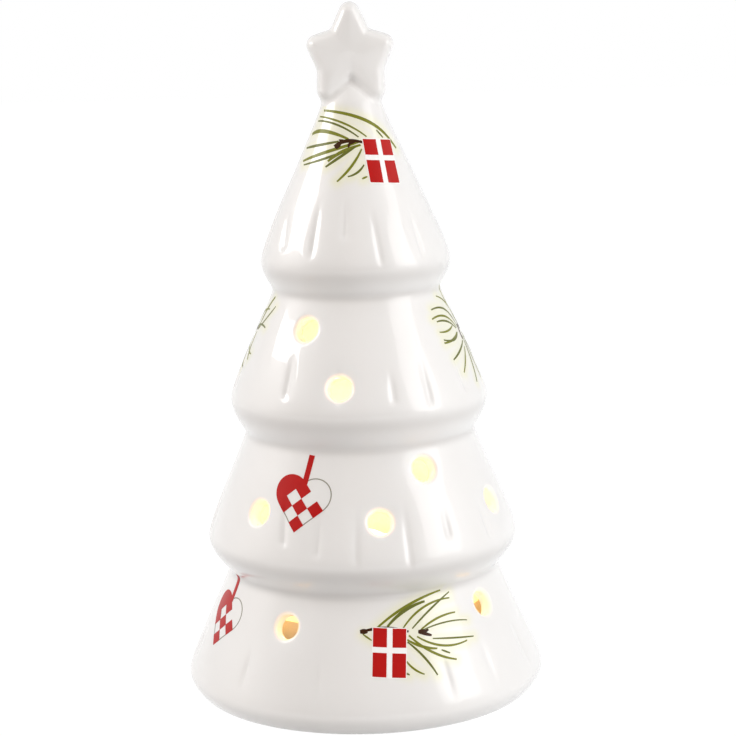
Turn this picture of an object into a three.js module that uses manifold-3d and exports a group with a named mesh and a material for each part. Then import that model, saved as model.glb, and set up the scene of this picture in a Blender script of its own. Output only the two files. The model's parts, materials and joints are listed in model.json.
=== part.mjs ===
// A Christmas tree figurine: a hollow glazed earthenware tree in four tiers, with a star on its
// tip and round light holes, lit from inside by a battery light unit that is pushed up into the
// open base. Millimetres, +Z up, origin at the centre of the foot, front towards -Y.

import * as THREE from 'three';
import { mergeVertices } from 'three/addons/utils/BufferGeometryUtils.js';
import Module from 'manifold-3d';

const wasm = await Module();
wasm.setup();

// Clearance between pieces that touch, and how far a cutting tool runs past what it cuts

const gap = 0.3;
const past = 1;

// Tree body, tier by tier from the foot up: the underside rises to the widest edge, and the flank
// leans in from there to the crease, or to the neck

const skirtUnderside = 4.6;
const skirtRadius = 44.5;
const skirtFlank = 26.6;
const skirtCrease = 33.6;
const lowerUnderside = 8.1;
const lowerRadius = 38.5;
const lowerFlank = 26.2;
const lowerCrease = 28.5;
const upperUnderside = 8.3;
const upperRadius = 31.9;
const upperFlank = 27;
const upperCrease = 20.6;
const crownUnderside = 6.6;
const crownRadius = 23.4;
const crownFlank = 38.6;
const neckRadius = 7.2;
const tipRise = 6.5;
const bodyWall = 3.8;
const footWidth = 4.9;
const footRecess = 2.9;
const floorThickness = 3.6;
const recessClearance = 2.5;
const bodySides = 44;
const tipSteps = 5;

// Light holes: the tier, the turn from the front in degrees and the rise above the tier's edge.
// Each is repeated half a turn on

const holeRadius = 2.9;
const lightHoles = [
  { tier: 0, turn: -31, rise: 19.2 },
  { tier: 0, turn: 54, rise: 20.9 },
  { tier: 1, turn: -46, rise: 10.9 },
  { tier: 1, turn: 7, rise: 10.3 },
  { tier: 1, turn: 66, rise: 10.2 },
  { tier: 1, turn: 30, rise: 21 },
  { tier: 2, turn: -9, rise: 7 },
  { tier: 2, turn: -31.5, rise: 19.8 },
];

// Star: half widths of its flat face, and heights of its corners above the tip of the tree

const starTopHeight = 16;
const starShoulderWidth = 3.4;
const starShoulderHeight = 9;
const starArmWidth = 9.3;
const starArmHeight = 7.4;
const starWaistWidth = 6.1;
const starWaistHeight = 1.7;
const starLegWidth = 6.8;
const starLegDrop = 4.7;
const starForkHeight = 1.9;
const starPointRound = 2.2;
const starNotchRound = 2;
const starThickness = 10.4;
const starEdgeRound = 2.6;
const starEdgeSpread = 1.8;
const starForward = 0.8;

// Light unit casing

const casingSides = 36;
const casingMargin = 0.86;
const rimWidth = 2.5;
const rimThickness = 1.8;
const casingWall = 1.8;
const sealSection = 1.7;
const sealHeight = 3;
const sealLip = 0.5;
const sealLipHeight = 1;
const beadHeight = 0.6;
const housingHeight = 15;
const componentRoom = 2.9;
const coverTop = 1.6;
const domeRadius = 13;
const domeWall = 1.2;
const domeHeight = 16;
const domeStraight = 3;
const domeFlange = 2.5;
const domeFlangeThickness = 1.2;

// Battery bay

const batteryRadius = 5.25;
const batteryLength = 44.5;
const cellRim = 0.3;
const cellCrimp = 1.1;
const cellShoulder = 0.6;
const nubLength = 0.8;
const nubRadius = 1.9;
const batteryPitch = 11.2;
const bayWall = 1.6;
const springLength = 3.6;
const springWire = 0.3;
const springTurns = 2.5;
const springFootRadius = 3.4;
const springEndRadius = 2.3;
const plateThickness = 0.4;
const plateDimple = 0.3;
const plateClearance = 1.3;
const dimpleRadius = 1.6;
const tabWidth = 3;
const tabRise = 1.1;

// Battery door with its hinge along X

const doorThickness = 1.4;
const doorLedge = 1;
const barrelRadius = 1.7;
const barrelLength = 34;
const pinRadius = 0.6;
const pinOverhang = 3;
const nailNotchRadius = 5;
const nailNotchDepth = 1.1;
const nibRadius = 0.5;
const nibLength = 6;
const gripCount = 4;
const gripPitch = 2;
const gripWidth = 0.8;
const gripLength = 5;
const gripDepth = 0.4;

// Circuit board and what it carries

const boardThickness = 1.6;
const standoffHeight = 1.5;
const standoffRadius = 2;
const standoffCircle = 10.5;
const holdDownRadius = 1.5;
const postTurns = [45, 135, 225, 315];
const ledTurns = [90, 210, 330];
const ledRadius = 2.5;
const ledHeight = 8.6;
const ledFlange = 0.4;
const ledFlangeHeight = 1;
const ledCircle = 6;
const ledLegRadius = 0.3;
const ledLegLength = 2.6;
const ledLegPitch = 2.54;
const resistorRadius = 1.1;
const resistorLength = 6;
const resistorLeadRadius = 0.3;
const resistorLeadReach = 2;
const wireRadius = 0.6;
const leadRoom = 3.43;
const leadSlack = 1.2;
const leadFrom = 24;
const leadStep = 15;

// Slide switch

const switchLength = 12;
const switchWidth = 6;
const switchHeight = 5;
const switchClearance = 3.2;
const knobLength = 5;
const knobWidth = 3.4;
const knobProud = 0.4;
const knobTravel = 2.5;
const ridgePitch = 1.5;
const ridgeWidth = 0.6;
const ridgeDepth = 0.4;

// Casing screws

const screwInset = 1.57;
const screwTurn = 50.33;
const screwShank = 1;
const screwPoint = 1.5;
const screwHead = 2.1;
const screwHeadHeight = 1.6;
const screwHeadRound = 0.5;
const driveReach = 1.3;
const driveWidth = 0.5;
const driveDepth = 0.7;
const bossWall = 0.8;

// Sizes that follow

const tiers = [];
for (const [undersideRise, edgeRadius, flankRise, topRadius] of [
  [skirtUnderside, skirtRadius, skirtFlank, skirtCrease],
  [lowerUnderside, lowerRadius, lowerFlank, lowerCrease],
  [upperUnderside, upperRadius, upperFlank, upperCrease],
  [crownUnderside, crownRadius, crownFlank, neckRadius],
]) {
  const below = tiers.length > 0 ? tiers[tiers.length - 1].topHeight : 0;
  const edgeHeight = below + undersideRise;
  tiers.push({ edgeRadius, edgeHeight, flankRise, topRadius, topHeight: edgeHeight + flankRise });
}
const neck = tiers[tiers.length - 1];
const tipHeight = neck.topHeight + tipRise;
const unitBottom = footRecess - gap - rimThickness;
const bayHalfX = (batteryLength + springLength + plateDimple) / 2 + plateThickness + 2.5 * gap;
const bayHalfY = batteryPitch / 2 + batteryRadius + 2 * gap;
const casingRadius = Math.hypot(bayHalfX + doorLedge, bayHalfY + doorLedge) + casingMargin;
const casingInner = casingRadius - casingWall;
const sealOuter = casingRadius + sealSection;
const openingRadius = sealOuter + gap;
const rimRadius = openingRadius + rimWidth;
const recessRadius = rimRadius + recessClearance;
const footRadius = recessRadius + footWidth;
const batteryHeight = doorThickness + gap + batteryRadius;
const bayTop = batteryHeight + batteryRadius + gap;
const ceilingTop = bayTop + bayWall;
const plateFace = bayHalfX - gap - plateThickness;
const boardBottom = ceilingTop + standoffHeight + gap;
const boardTop = boardBottom + boardThickness;
const coverBottom = housingHeight + gap;
const coverCeiling = boardTop + componentRoom;
const coverRoof = coverCeiling + coverTop;
const hingeY = bayHalfY + barrelRadius;
const hingeZ = barrelRadius;
const screwCircle = casingInner - screwInset;
const screwX = screwCircle * Math.cos(THREE.MathUtils.degToRad(screwTurn));
const screwY = screwCircle * Math.sin(THREE.MathUtils.degToRad(screwTurn));
const bossRadius = screwHead + gap + bossWall;
const boardRadius = screwCircle - bossRadius - leadRoom;
const switchOffset = casingInner - switchClearance - switchWidth / 2;

// Materials

function finish(colour, roughness, metalness = 0) {
  return new THREE.MeshStandardMaterial({ color: colour, roughness, metalness, flatShading: true });
}

const glaze = finish(0xf2f0ec, 0.12);
const blackPlastic = finish(0x2b2b2d, 0.5);
const whitePlastic = finish(0xe9e7e1, 0.45);
const silicone = finish(0xd9d9d4, 0.7);
const frosted = finish(0xfff3d8, 0.55);
const boardGreen = finish(0x1f5b3a, 0.5);
const ledResin = finish(0xffe2a0, 0.15);
const resistorBlue = finish(0x7fb2c9, 0.4);
const cellJacket = finish(0x3c4348, 0.35, 0.3);
const nickel = finish(0xc4c6c8, 0.28, 1);
const zincSteel = finish(0xa8abad, 0.35, 1);
const redPvc = finish(0xb3211c, 0.5);
const blackPvc = finish(0x1c1c1e, 0.5);
const bluePvc = finish(0x2a4f8f, 0.5);

// Solids: plain geometries are joined and cut as closed bodies

function toSolid(geometry) {
  const bare = geometry.clone();
  bare.deleteAttribute('normal');
  bare.deleteAttribute('uv');
  const merged = mergeVertices(bare, 1e-4);
  const position = merged.attributes.position;
  const index = merged.index.array;
  const corners = [];
  for (let i = 0; i < index.length; i += 3) {
    const [a, b, c] = [index[i], index[i + 1], index[i + 2]];
    if (a !== b && b !== c && c !== a) corners.push(a, b, c);
  }
  const [p, q, r] = [new THREE.Vector3(), new THREE.Vector3(), new THREE.Vector3()];
  let volume = 0;
  for (let i = 0; i < corners.length; i += 3) {
    p.fromBufferAttribute(position, corners[i]);
    q.fromBufferAttribute(position, corners[i + 1]);
    r.fromBufferAttribute(position, corners[i + 2]);
    volume += p.dot(q.cross(r));
  }
  const triVerts = new Uint32Array(volume < 0 ? corners.reverse() : corners);
  const vertProperties = new Float32Array(position.array);
  return new wasm.Manifold(new wasm.Mesh({ numProp: 3, vertProperties, triVerts }));
}

function toGeometry(solid) {
  const mesh = solid.getMesh();
  const geometry = new THREE.BufferGeometry();
  geometry.setAttribute('position', new THREE.BufferAttribute(mesh.vertProperties, 3));
  geometry.setIndex(new THREE.BufferAttribute(mesh.triVerts, 1));
  return geometry;
}

function join(...parts) {
  return toGeometry(parts.map(toSolid).reduce((whole, part) => whole.add(part)));
}

function cut(body, ...tools) {
  return toGeometry(tools.map(toSolid).reduce((rest, tool) => rest.subtract(tool), toSolid(body)));
}

function common(first, second) {
  return toGeometry(toSolid(first).intersect(toSolid(second)));
}

function pillar(radius, low, high, sides = 16) {
  const geometry = new THREE.CylinderGeometry(radius, radius, high - low, sides);
  return geometry.rotateX(Math.PI / 2).translate(0, 0, (low + high) / 2);
}

function bar(radius, left, right, sides = 12) {
  return pillar(radius, left, right, sides).rotateY(Math.PI / 2);
}

function block(x, y, z) {
  const geometry = new THREE.BoxGeometry(x[1] - x[0], y[1] - y[0], z[1] - z[0]);
  return geometry.translate((x[0] + x[1]) / 2, (y[0] + y[1]) / 2, (z[0] + z[1]) / 2);
}

function turned(points, sides) {
  const profile = points.map(([radius, height]) => new THREE.Vector2(radius, height));
  return new THREE.LatheGeometry(profile, sides).rotateX(Math.PI / 2);
}

function tube(points, radius, steps, sides = 6) {
  const section = new THREE.Shape();
  for (let side = 0; side < sides; side++) {
    const angle = (side / sides) * Math.PI * 2;
    const [x, y] = [radius * Math.cos(angle), radius * Math.sin(angle)];
    if (side === 0) section.moveTo(x, y);
    else section.lineTo(x, y);
  }
  const path = new THREE.CatmullRomCurve3(points.map((point) => new THREE.Vector3(...point)));
  return new THREE.ExtrudeGeometry(section, { steps, extrudePath: path });
}

// Tree body

function curve(start, startPull, endPull, end, count) {
  const points = [start, startPull, endPull, end].map(([x, y]) => new THREE.Vector2(x, y));
  const bezier = new THREE.CubicBezierCurve(...points);
  return bezier.getPoints(count).slice(1).map((point) => [point.x, point.y]);
}

// The underside of a tier rolls out of the crease below it and over into its edge
function underside(creaseRadius, creaseHeight, tier) {
  const out = tier.edgeRadius - creaseRadius;
  const rise = tier.edgeHeight - creaseHeight;
  return curve(
    [creaseRadius, creaseHeight],
    [creaseRadius + 0.12 * out, creaseHeight + 0.15 * rise],
    [tier.edgeRadius - 0.03 * out, tier.edgeHeight - 0.46 * rise],
    [tier.edgeRadius, tier.edgeHeight],
    3
  );
}

// The flank leans in from the edge to the next crease, with a small cove under it
function flank(tier) {
  const lean = tier.edgeRadius - tier.topRadius;
  const rise = tier.topHeight - tier.edgeHeight;
  return curve(
    [tier.edgeRadius, tier.edgeHeight],
    [tier.edgeRadius, tier.edgeHeight + 0.134 * rise],
    [tier.topRadius + 0.11 * lean, tier.topHeight - 0.172 * rise],
    [tier.topRadius, tier.topHeight],
    5
  );
}

function treeOutline() {
  const outline = [[0, 0], [footRadius, 0]];
  let [radius, height] = [footRadius, 0];
  for (const tier of tiers) {
    outline.push(...underside(radius, height, tier), ...flank(tier));
    [radius, height] = [tier.topRadius, tier.topHeight];
  }
  outline.push(...curve([radius, height], [radius * 0.72, height + tipRise * 0.6],
    [radius * 0.4, tipHeight], [0, tipHeight], tipSteps));
  return outline;
}

function cavityOutline() {
  const floorTop = footRecess + floorThickness;
  const outline = [[0, floorTop]];
  for (const tier of tiers) {
    const edge = Math.max(tier.edgeHeight + bodyWall * 0.35, floorTop);
    outline.push([tier.edgeRadius - bodyWall * 1.15, edge]);
    if (tier !== neck) outline.push([tier.topRadius - bodyWall, tier.topHeight + bodyWall * 0.1]);
  }
  const slope = (neck.edgeRadius - neck.topRadius) / (neck.topHeight - neck.edgeHeight);
  const closing = neck.topHeight - bodyWall * 2;
  outline.push([neck.topRadius + slope * (neck.topHeight - closing) - bodyWall * 1.15, closing]);
  outline.push([0, closing + bodyWall * 0.5]);
  return outline;
}

function lightHole(hole) {
  const tier = tiers[hole.tier];
  const lean = (tier.edgeRadius - tier.topRadius) / tier.flankRise;
  const surface = tier.edgeRadius - lean * hole.rise;
  const drill = pillar(holeRadius, -3 * bodyWall, 2 * bodyWall, 10);
  return drill
    .rotateX(Math.PI / 2 - Math.atan(lean))
    .translate(0, -surface, tier.edgeHeight + hole.rise)
    .rotateZ(THREE.MathUtils.degToRad(hole.turn));
}

function treeShell() {
  const body = turned(treeOutline(), bodySides);
  const cavity = turned(cavityOutline(), bodySides);
  const opening = pillar(openingRadius, -past, footRecess + floorThickness + past, bodySides);
  const recess = pillar(recessRadius, -past, footRecess, bodySides);
  const drills = [];
  for (const halfTurn of [0, 180]) {
    for (const hole of lightHoles) drills.push(lightHole({ ...hole, turn: hole.turn + halfTurn }));
  }
  return cut(body, cavity, opening, recess, ...drills);
}

// Star, pressed down over the tip of the tree

function starOutline() {
  const right = [
    [starShoulderWidth, starShoulderHeight, starNotchRound],
    [starArmWidth, starArmHeight, starPointRound],
    [starWaistWidth, starWaistHeight, starNotchRound],
    [starLegWidth, -starLegDrop, starPointRound],
  ];
  const left = right.map(([x, height, round]) => [-x, height, round]).reverse();
  const top = [0, starTopHeight, starPointRound];
  const fork = [0, starForkHeight, starNotchRound];
  const corners = [top, ...right, fork, ...left];
  const shape = new THREE.Shape();
  corners.forEach(([x, height, round], i) => {
    const here = new THREE.Vector2(x, height);
    const toward = (other) => new THREE.Vector2(other[0], other[1]).sub(here).setLength(round);
    const start = toward(corners[(i + corners.length - 1) % corners.length]).add(here);
    const end = toward(corners[(i + 1) % corners.length]).add(here);
    if (i === 0) shape.moveTo(start.x, start.y);
    else shape.lineTo(start.x, start.y);
    shape.quadraticCurveTo(here.x, here.y, end.x, end.y);
  });
  return shape;
}

function starTopper() {
  const depth = starThickness - 2 * starEdgeRound;
  const geometry = new THREE.ExtrudeGeometry(starOutline(), {
    depth, curveSegments: 2, bevelSegments: 2,
    bevelThickness: starEdgeRound, bevelSize: starEdgeSpread,
  });
  geometry.translate(0, 0, -depth / 2).rotateX(Math.PI / 2).translate(0, -starForward, tipHeight);
  const seat = treeOutline().slice(-tipSteps - 1).map(([radius, height]) => {
    return [radius > 0 ? radius + gap : 0, height + gap];
  });
  const seatFoot = tipHeight - starTopHeight;
  seat.unshift([0, seatFoot], [neck.topRadius + gap, seatFoot]);
  return cut(geometry, turned(seat, 16));
}

// Light unit casing, seen from its underside up

const screwPlaces = [
  [-screwX, -screwY],
  [-screwX, screwY],
  [screwX, -screwY],
  [screwX, screwY],
];

function onScrews(make) {
  return screwPlaces.map(([x, y]) => make().translate(x, y, 0));
}

function atBatteries(make) {
  return [make().translate(0, -batteryPitch / 2, 0), make().translate(0, batteryPitch / 2, 0)];
}

function onCircle(turns, radius, make) {
  return turns.map((turn) => {
    return make().translate(radius, 0, 0).rotateZ(THREE.MathUtils.degToRad(turn));
  });
}

function unitHousing() {
  const drum = pillar(casingRadius, 0, housingHeight, casingSides);
  const hollow = pillar(casingInner, casingWall, housingHeight + past, casingSides);
  const rim = pillar(rimRadius, 0, rimThickness, casingSides);
  const beadLow = rimThickness + gap + sealHeight + gap;
  const bead = pillar(casingRadius + sealSection / 2, beadLow, beadLow + beadHeight, casingSides);
  const bayOuterY = bayHalfY + 2 * barrelRadius + gap + bayWall;
  const bayBox = block(
    [-bayHalfX - bayWall, bayHalfX + bayWall],
    [-bayHalfY - bayWall, bayOuterY],
    [0, ceilingTop]
  );
  const bay = common(bayBox, pillar(casingRadius, 0, ceilingTop, casingSides));
  const bosses = onScrews(() => pillar(bossRadius, 0, housingHeight, 12));
  const clippedBosses = bosses.map((boss) => common(boss, drum));
  const standoffs = onCircle(postTurns, standoffCircle, () => {
    return pillar(standoffRadius, ceilingTop - past, ceilingTop + standoffHeight, 10);
  });
  const body = join(cut(join(drum, rim, bead), hollow), bay, ...clippedBosses, ...standoffs);

  const cavity = block([-bayHalfX, bayHalfX], [-bayHalfY, bayHalfY], [-past, bayTop]);
  const doorRecess = block(
    [-bayHalfX - doorLedge, bayHalfX + doorLedge],
    [-bayHalfY - doorLedge, bayHalfY],
    [-past, doorThickness + gap]
  );
  const barrelPocket = block(
    [-barrelLength / 2 - gap, barrelLength / 2 + gap],
    [bayHalfY - past, hingeY + barrelRadius + gap],
    [-past, hingeZ + barrelRadius + gap]
  );
  const pinEnd = barrelLength / 2 + pinOverhang + gap;
  const pinBore = bar(pinRadius + gap, -pinEnd, pinEnd).translate(0, hingeY, hingeZ);
  const tabSlots = atBatteries(() => {
    const slot = [-tabWidth / 2 - gap, tabWidth / 2 + gap];
    return block([plateFace - gap, bayHalfX], slot, [bayTop - past, ceilingTop + past]);
  });
  const nailNotch = pillar(nailNotchRadius, -past, nailNotchDepth, 20)
    .translate(0, -bayHalfY - doorLedge, 0);
  const knobHalf = knobLength / 2 + gap;
  const knobSlot = block(
    [-knobHalf - knobTravel / 2, knobHalf + knobTravel / 2],
    [switchOffset - knobWidth / 2 - gap, switchOffset + knobWidth / 2 + gap],
    [-past, casingWall + past]
  );
  const screwHoles = onScrews(() => pillar(screwShank + gap, -past, housingHeight + past, 10));
  const headHoles = onScrews(() => pillar(screwHead + gap, -past, screwHeadHeight + 2 * gap, 12));
  return cut(body, cavity, doorRecess, barrelPocket, pinBore, ...tabSlots, nailNotch, knobSlot,
    ...screwHoles, ...headHoles);
}

function unitCover() {
  const drum = pillar(casingRadius, coverBottom, coverRoof, casingSides);
  const hollow = pillar(casingInner, coverBottom - past, coverCeiling, casingSides);
  const midRoof = coverCeiling + coverTop / 2;
  const bosses = onScrews(() => pillar(bossRadius, coverBottom, midRoof, 12));
  const clippedBosses = bosses.map((boss) => common(boss, drum));
  const holdDownCircle = domeRadius + domeFlange + gap + holdDownRadius;
  const holdDowns = onCircle(postTurns, holdDownCircle, () => {
    return pillar(holdDownRadius, boardTop + gap, midRoof, 10);
  });
  const window = pillar(domeRadius + gap, coverCeiling - past, coverRoof + past, 32);
  const pilots = onScrews(() => pillar(screwShank + gap, coverBottom - past, coverCeiling, 10));
  return cut(join(cut(drum, hollow), ...clippedBosses, ...holdDowns), window, ...pilots);
}

function sealRing() {
  const low = rimThickness + gap;
  const high = low + sealHeight;
  const inner = casingRadius + gap;
  const valley = sealOuter - sealLip;
  return turned([
    [inner, low], [valley, low], [sealOuter, low + sealLipHeight / 2], [valley, low + sealLipHeight],
    [valley, high - sealLipHeight], [sealOuter, high - sealLipHeight / 2], [valley, high],
    [inner, high], [inner, low],
  ], 32);
}

function domeOutline(inset) {
  const foot = boardTop + gap - (inset > 0 ? past : 0);
  const straight = coverRoof + domeStraight;
  const top = coverRoof + domeHeight - inset;
  const radius = domeRadius - inset;
  const points = [[0, foot], [radius, foot]];
  const steps = 5;
  for (let step = 0; step <= steps; step++) {
    const angle = (step / steps) * (Math.PI / 2);
    const across = step === steps ? 0 : radius * Math.cos(angle);
    points.push([across, straight + (top - straight) * Math.sin(angle)]);
  }
  return points;
}

function lightDome() {
  const high = coverCeiling - gap;
  const flange = pillar(domeRadius + domeFlange, high - domeFlangeThickness, high, 28);
  return cut(join(turned(domeOutline(0), 28), flange), turned(domeOutline(domeWall), 28));
}

// Batteries and contacts, lying along X, with the first cell's nub towards +X

function battery() {
  const shoulder = batteryLength - nubLength;
  return turned([
    [0, cellRim], [batteryRadius - cellCrimp - cellRim, cellRim], [batteryRadius - cellCrimp, 0],
    [batteryRadius - cellRim, 0], [batteryRadius, cellRim], [batteryRadius, shoulder - cellShoulder],
    [batteryRadius - cellShoulder, shoulder], [nubRadius, shoulder], [nubRadius, batteryLength],
    [0, batteryLength],
  ], 18).rotateY(Math.PI / 2);
}

function contactPlate(span, withTab) {
  const low = doorThickness + plateClearance;
  const plate = block([plateFace, plateFace + plateThickness], span, [low, bayTop - gap]);
  if (!withTab) return plate;
  const tab = [-tabWidth / 2, tabWidth / 2];
  return join(plate, block([plateFace, plateFace + plateThickness], tab,
    [bayTop - past, ceilingTop + tabRise]));
}

function dimple() {
  return bar(dimpleRadius, plateFace - plateDimple, plateFace + plateThickness / 2, 10)
    .translate(0, 0, batteryHeight);
}

function contactSpring() {
  const stepsPerTurn = 8;
  const steps = springTurns * stepsPerTurn;
  const length = springLength - 2 * springWire;
  const points = [];
  for (let step = 0; step <= steps; step++) {
    const along = step / steps;
    const angle = (step / stepsPerTurn) * Math.PI * 2;
    const radius = springFootRadius + (springEndRadius - springFootRadius) * along;
    points.push([
      plateFace - gap - springWire - length * along,
      radius * Math.cos(angle),
      radius * Math.sin(angle),
    ]);
  }
  return tube(points, springWire, steps, 5);
}

// Door, hinge pin and switch

function batteryDoor() {
  const halfX = bayHalfX + doorLedge - gap;
  const frontEdge = -bayHalfY - doorLedge + gap;
  const plate = block([-halfX, halfX], [frontEdge, bayHalfY - 2 * gap], [0, doorThickness]);
  const leaf = block([-barrelLength / 2, barrelLength / 2], [0, hingeY], [0, doorThickness]);
  const barrel = bar(barrelRadius, -barrelLength / 2, barrelLength / 2, 16)
    .translate(0, hingeY, hingeZ);
  const nib = bar(nibRadius, -nibLength / 2, nibLength / 2, 8)
    .translate(0, frontEdge + nibRadius / 2, doorThickness / 2);
  const bore = bar(pinRadius + gap, -barrelLength, barrelLength, 12).translate(0, hingeY, hingeZ);
  const gripY = [frontEdge + 2 * gripPitch, frontEdge + 2 * gripPitch + gripLength];
  const grips = ridgesAlongX(gripCount, gripPitch, gripWidth, gripY, [-past, gripDepth]);
  return cut(join(plate, leaf, barrel, nib), bore, ...grips);
}

function ridgesAlongX(count, pitch, width, y, z) {
  const ridges = [];
  for (let i = 0; i < count; i++) {
    const x = (i - (count - 1) / 2) * pitch;
    ridges.push(block([x - width / 2, x + width / 2], y, z));
  }
  return ridges;
}

function switchBody() {
  const low = casingWall + gap;
  const halfWell = knobLength / 2 + knobTravel / 2 + gap;
  const shell = block([-switchLength / 2, switchLength / 2], [-switchWidth / 2, switchWidth / 2],
    [low, low + switchHeight]);
  const well = block([-halfWell, halfWell], [-knobWidth / 2 - gap, knobWidth / 2 + gap],
    [low - past, low + switchHeight / 2]);
  return cut(shell, well);
}

function switchKnob() {
  const top = casingWall + gap + switchHeight / 2 - gap;
  const body = block([-knobLength / 2, knobLength / 2], [-knobWidth / 2, knobWidth / 2],
    [-knobProud, top]);
  const ridges = ridgesAlongX(3, ridgePitch, ridgeWidth, [-knobWidth, knobWidth],
    [-knobProud - past, -knobProud + ridgeDepth]);
  return cut(body, ...ridges);
}

function screw() {
  const seat = screwHeadHeight + gap;
  const tip = coverCeiling - gap * 2;
  const body = turned([
    [0, gap], [screwHead - screwHeadRound, gap], [screwHead, gap + screwHeadRound],
    [screwHead, seat], [screwShank, seat], [screwShank, tip - screwPoint], [0, tip],
  ], 12);
  const [across, along] = [[-driveWidth / 2, driveWidth / 2], [-driveReach, driveReach]];
  const deep = [-past, gap + driveDepth];
  return cut(body, block(along, across, deep), block(across, along, deep));
}

// Circuit board, lights and inner leads

function ledPlaces() {
  return ledTurns.map((turn) => {
    const angle = THREE.MathUtils.degToRad(turn);
    return [ledCircle * Math.cos(angle), ledCircle * Math.sin(angle)];
  });
}

function circuitBoard() {
  const holes = [];
  for (const [x, y] of ledPlaces()) {
    for (const side of [-1, 1]) {
      const hole = pillar(ledLegRadius + gap, boardBottom - past, boardTop + past, 6);
      holes.push(hole.translate(x + (side * ledLegPitch) / 2, y, 0));
    }
  }
  return cut(pillar(boardRadius, boardBottom, boardTop, 32), ...holes);
}

function led() {
  const foot = gap;
  const step = foot + ledFlangeHeight;
  const crown = ledHeight - ledRadius;
  const slant = ledRadius * Math.SQRT1_2;
  const bulb = turned([
    [0, foot], [ledRadius + ledFlange, foot], [ledRadius + ledFlange, step], [ledRadius, step],
    [ledRadius, crown], [slant, crown + slant], [0, ledHeight],
  ], 12);
  const legs = [-1, 1].map((side) => {
    return pillar(ledLegRadius, -ledLegLength, step, 6)
      .translate((side * ledLegPitch) / 2, 0, 0);
  });
  return join(bulb, ...legs);
}

function resistor() {
  const height = boardTop + gap + resistorRadius;
  const leadEnd = resistorLength / 2 + resistorLeadReach;
  const body = bar(resistorRadius, -resistorLength / 2, resistorLength / 2, 10);
  const lead = bar(resistorLeadRadius, -leadEnd, leadEnd, 6);
  const feet = [-1, 1].map((side) => {
    return pillar(resistorLeadRadius, -resistorRadius, resistorLeadRadius, 6)
      .translate(side * (leadEnd - resistorLeadRadius), 0, 0);
  });
  const place = domeRadius + domeFlange + gap + resistorRadius;
  return join(body, lead, ...feet).translate(0, -place, height);
}

// The model

const figurine = new THREE.Group();

function add(parent, name, geometry, material, position = [0, 0, 0], turnZ = 0) {
  const mesh = new THREE.Mesh(geometry, material);
  mesh.name = name;
  mesh.position.set(...position);
  mesh.rotation.z = turnZ;
  parent.add(mesh);
  return mesh;
}

add(figurine, 'tree_shell', treeShell(), glaze);
add(figurine, 'star_topper', starTopper(), glaze);

const unit = new THREE.Group();
unit.position.z = unitBottom;
figurine.add(unit);

add(unit, 'unit_housing', unitHousing(), blackPlastic);
add(unit, 'unit_cover', unitCover(), whitePlastic);
add(unit, 'seal_ring', sealRing(), silicone);
add(unit, 'light_dome', lightDome(), frosted);
add(unit, 'circuit_board', circuitBoard(), boardGreen);
add(unit, 'resistor', resistor(), resistorBlue);
ledPlaces().forEach(([x, y], i) => add(unit, `led_${i + 1}`, led(), ledResin, [x, y, boardTop]));

const lane = batteryPitch / 2;
const nubReach = plateFace - plateDimple - gap;
const cellStart = nubReach - batteryLength;
add(unit, 'battery_1', battery(), cellJacket, [cellStart, -lane, batteryHeight]);
add(unit, 'battery_2', battery(), cellJacket, [-cellStart, lane, batteryHeight], Math.PI);

const halfPlate = batteryRadius - gap;
const endSpan = [-halfPlate, halfPlate];
const bridgeSpan = [-lane - halfPlate, lane + halfPlate];
const bridge = join(contactPlate(bridgeSpan, false), dimple().translate(0, -lane, 0));
add(unit, 'bridge_plate', bridge, nickel, [0, 0, 0], Math.PI);
add(unit, 'bridge_spring', contactSpring(), nickel, [0, -lane, batteryHeight], Math.PI);
const positive = join(contactPlate(endSpan, true), dimple());
add(unit, 'positive_plate', positive, nickel, [0, -lane, 0]);
add(unit, 'negative_plate', contactPlate(endSpan, true), nickel, [0, lane, 0]);
add(unit, 'negative_spring', contactSpring(), nickel, [0, lane, batteryHeight]);

// Inner leads: red from its contact tab over the rim of the board, black under the board and past
// a screw boss to the switch, blue from the switch up over the rim of the board

const tabX = plateFace - gap - wireRadius;
const tabTop = ceilingTop + tabRise;
const padZ = boardTop + gap + wireRadius;
const switchTop = casingWall + gap + switchHeight + gap;
const switchTerminal = switchLength / 3;
const underBoard = ceilingTop + gap + wireRadius;
const redEdge = Math.sqrt(boardRadius ** 2 - lane ** 2);
add(unit, 'red_wire', tube([
  [tabX, -lane, tabTop],
  [tabX - leadSlack / 2, -lane, padZ - leadSlack / 2],
  [redEdge + leadSlack / 2, -lane, padZ + leadSlack],
  [redEdge - leadSlack, -lane, padZ],
], wireRadius, 10), redPvc);
const leadCircle = boardRadius + leadRoom / 2;
const onLeadCircle = (step, height) => {
  const angle = THREE.MathUtils.degToRad(leadFrom + step * leadStep);
  return [leadCircle * Math.cos(angle), leadCircle * Math.sin(angle), height];
};
add(unit, 'black_wire', tube([
  [tabX, lane, tabTop],
  onLeadCircle(0, underBoard),
  onLeadCircle(1, underBoard),
  onLeadCircle(2, underBoard),
  onLeadCircle(3, (underBoard + switchTop) / 2),
  [switchTerminal, switchOffset, switchTop + leadSlack],
  [switchTerminal, switchOffset, switchTop],
], wireRadius, 20), blackPvc);
const blueX = -switchLength / 2;
const blueEdge = Math.sqrt(boardRadius ** 2 - blueX ** 2);
add(unit, 'switch_wire', tube([
  [-switchTerminal, switchOffset, switchTop],
  [-switchTerminal, switchOffset, switchTop + leadSlack],
  [blueX, blueEdge + 2 * leadSlack, boardBottom - leadSlack],
  [blueX, blueEdge + leadSlack, padZ + leadSlack / 2],
  [blueX, blueEdge - leadSlack, padZ],
], wireRadius, 14), bluePvc);

add(unit, 'switch_body', switchBody(), blackPvc, [0, switchOffset, 0]);
add(unit, 'switch_knob', switchKnob(), whitePlastic, [knobTravel / 2, switchOffset, 0]);

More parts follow.
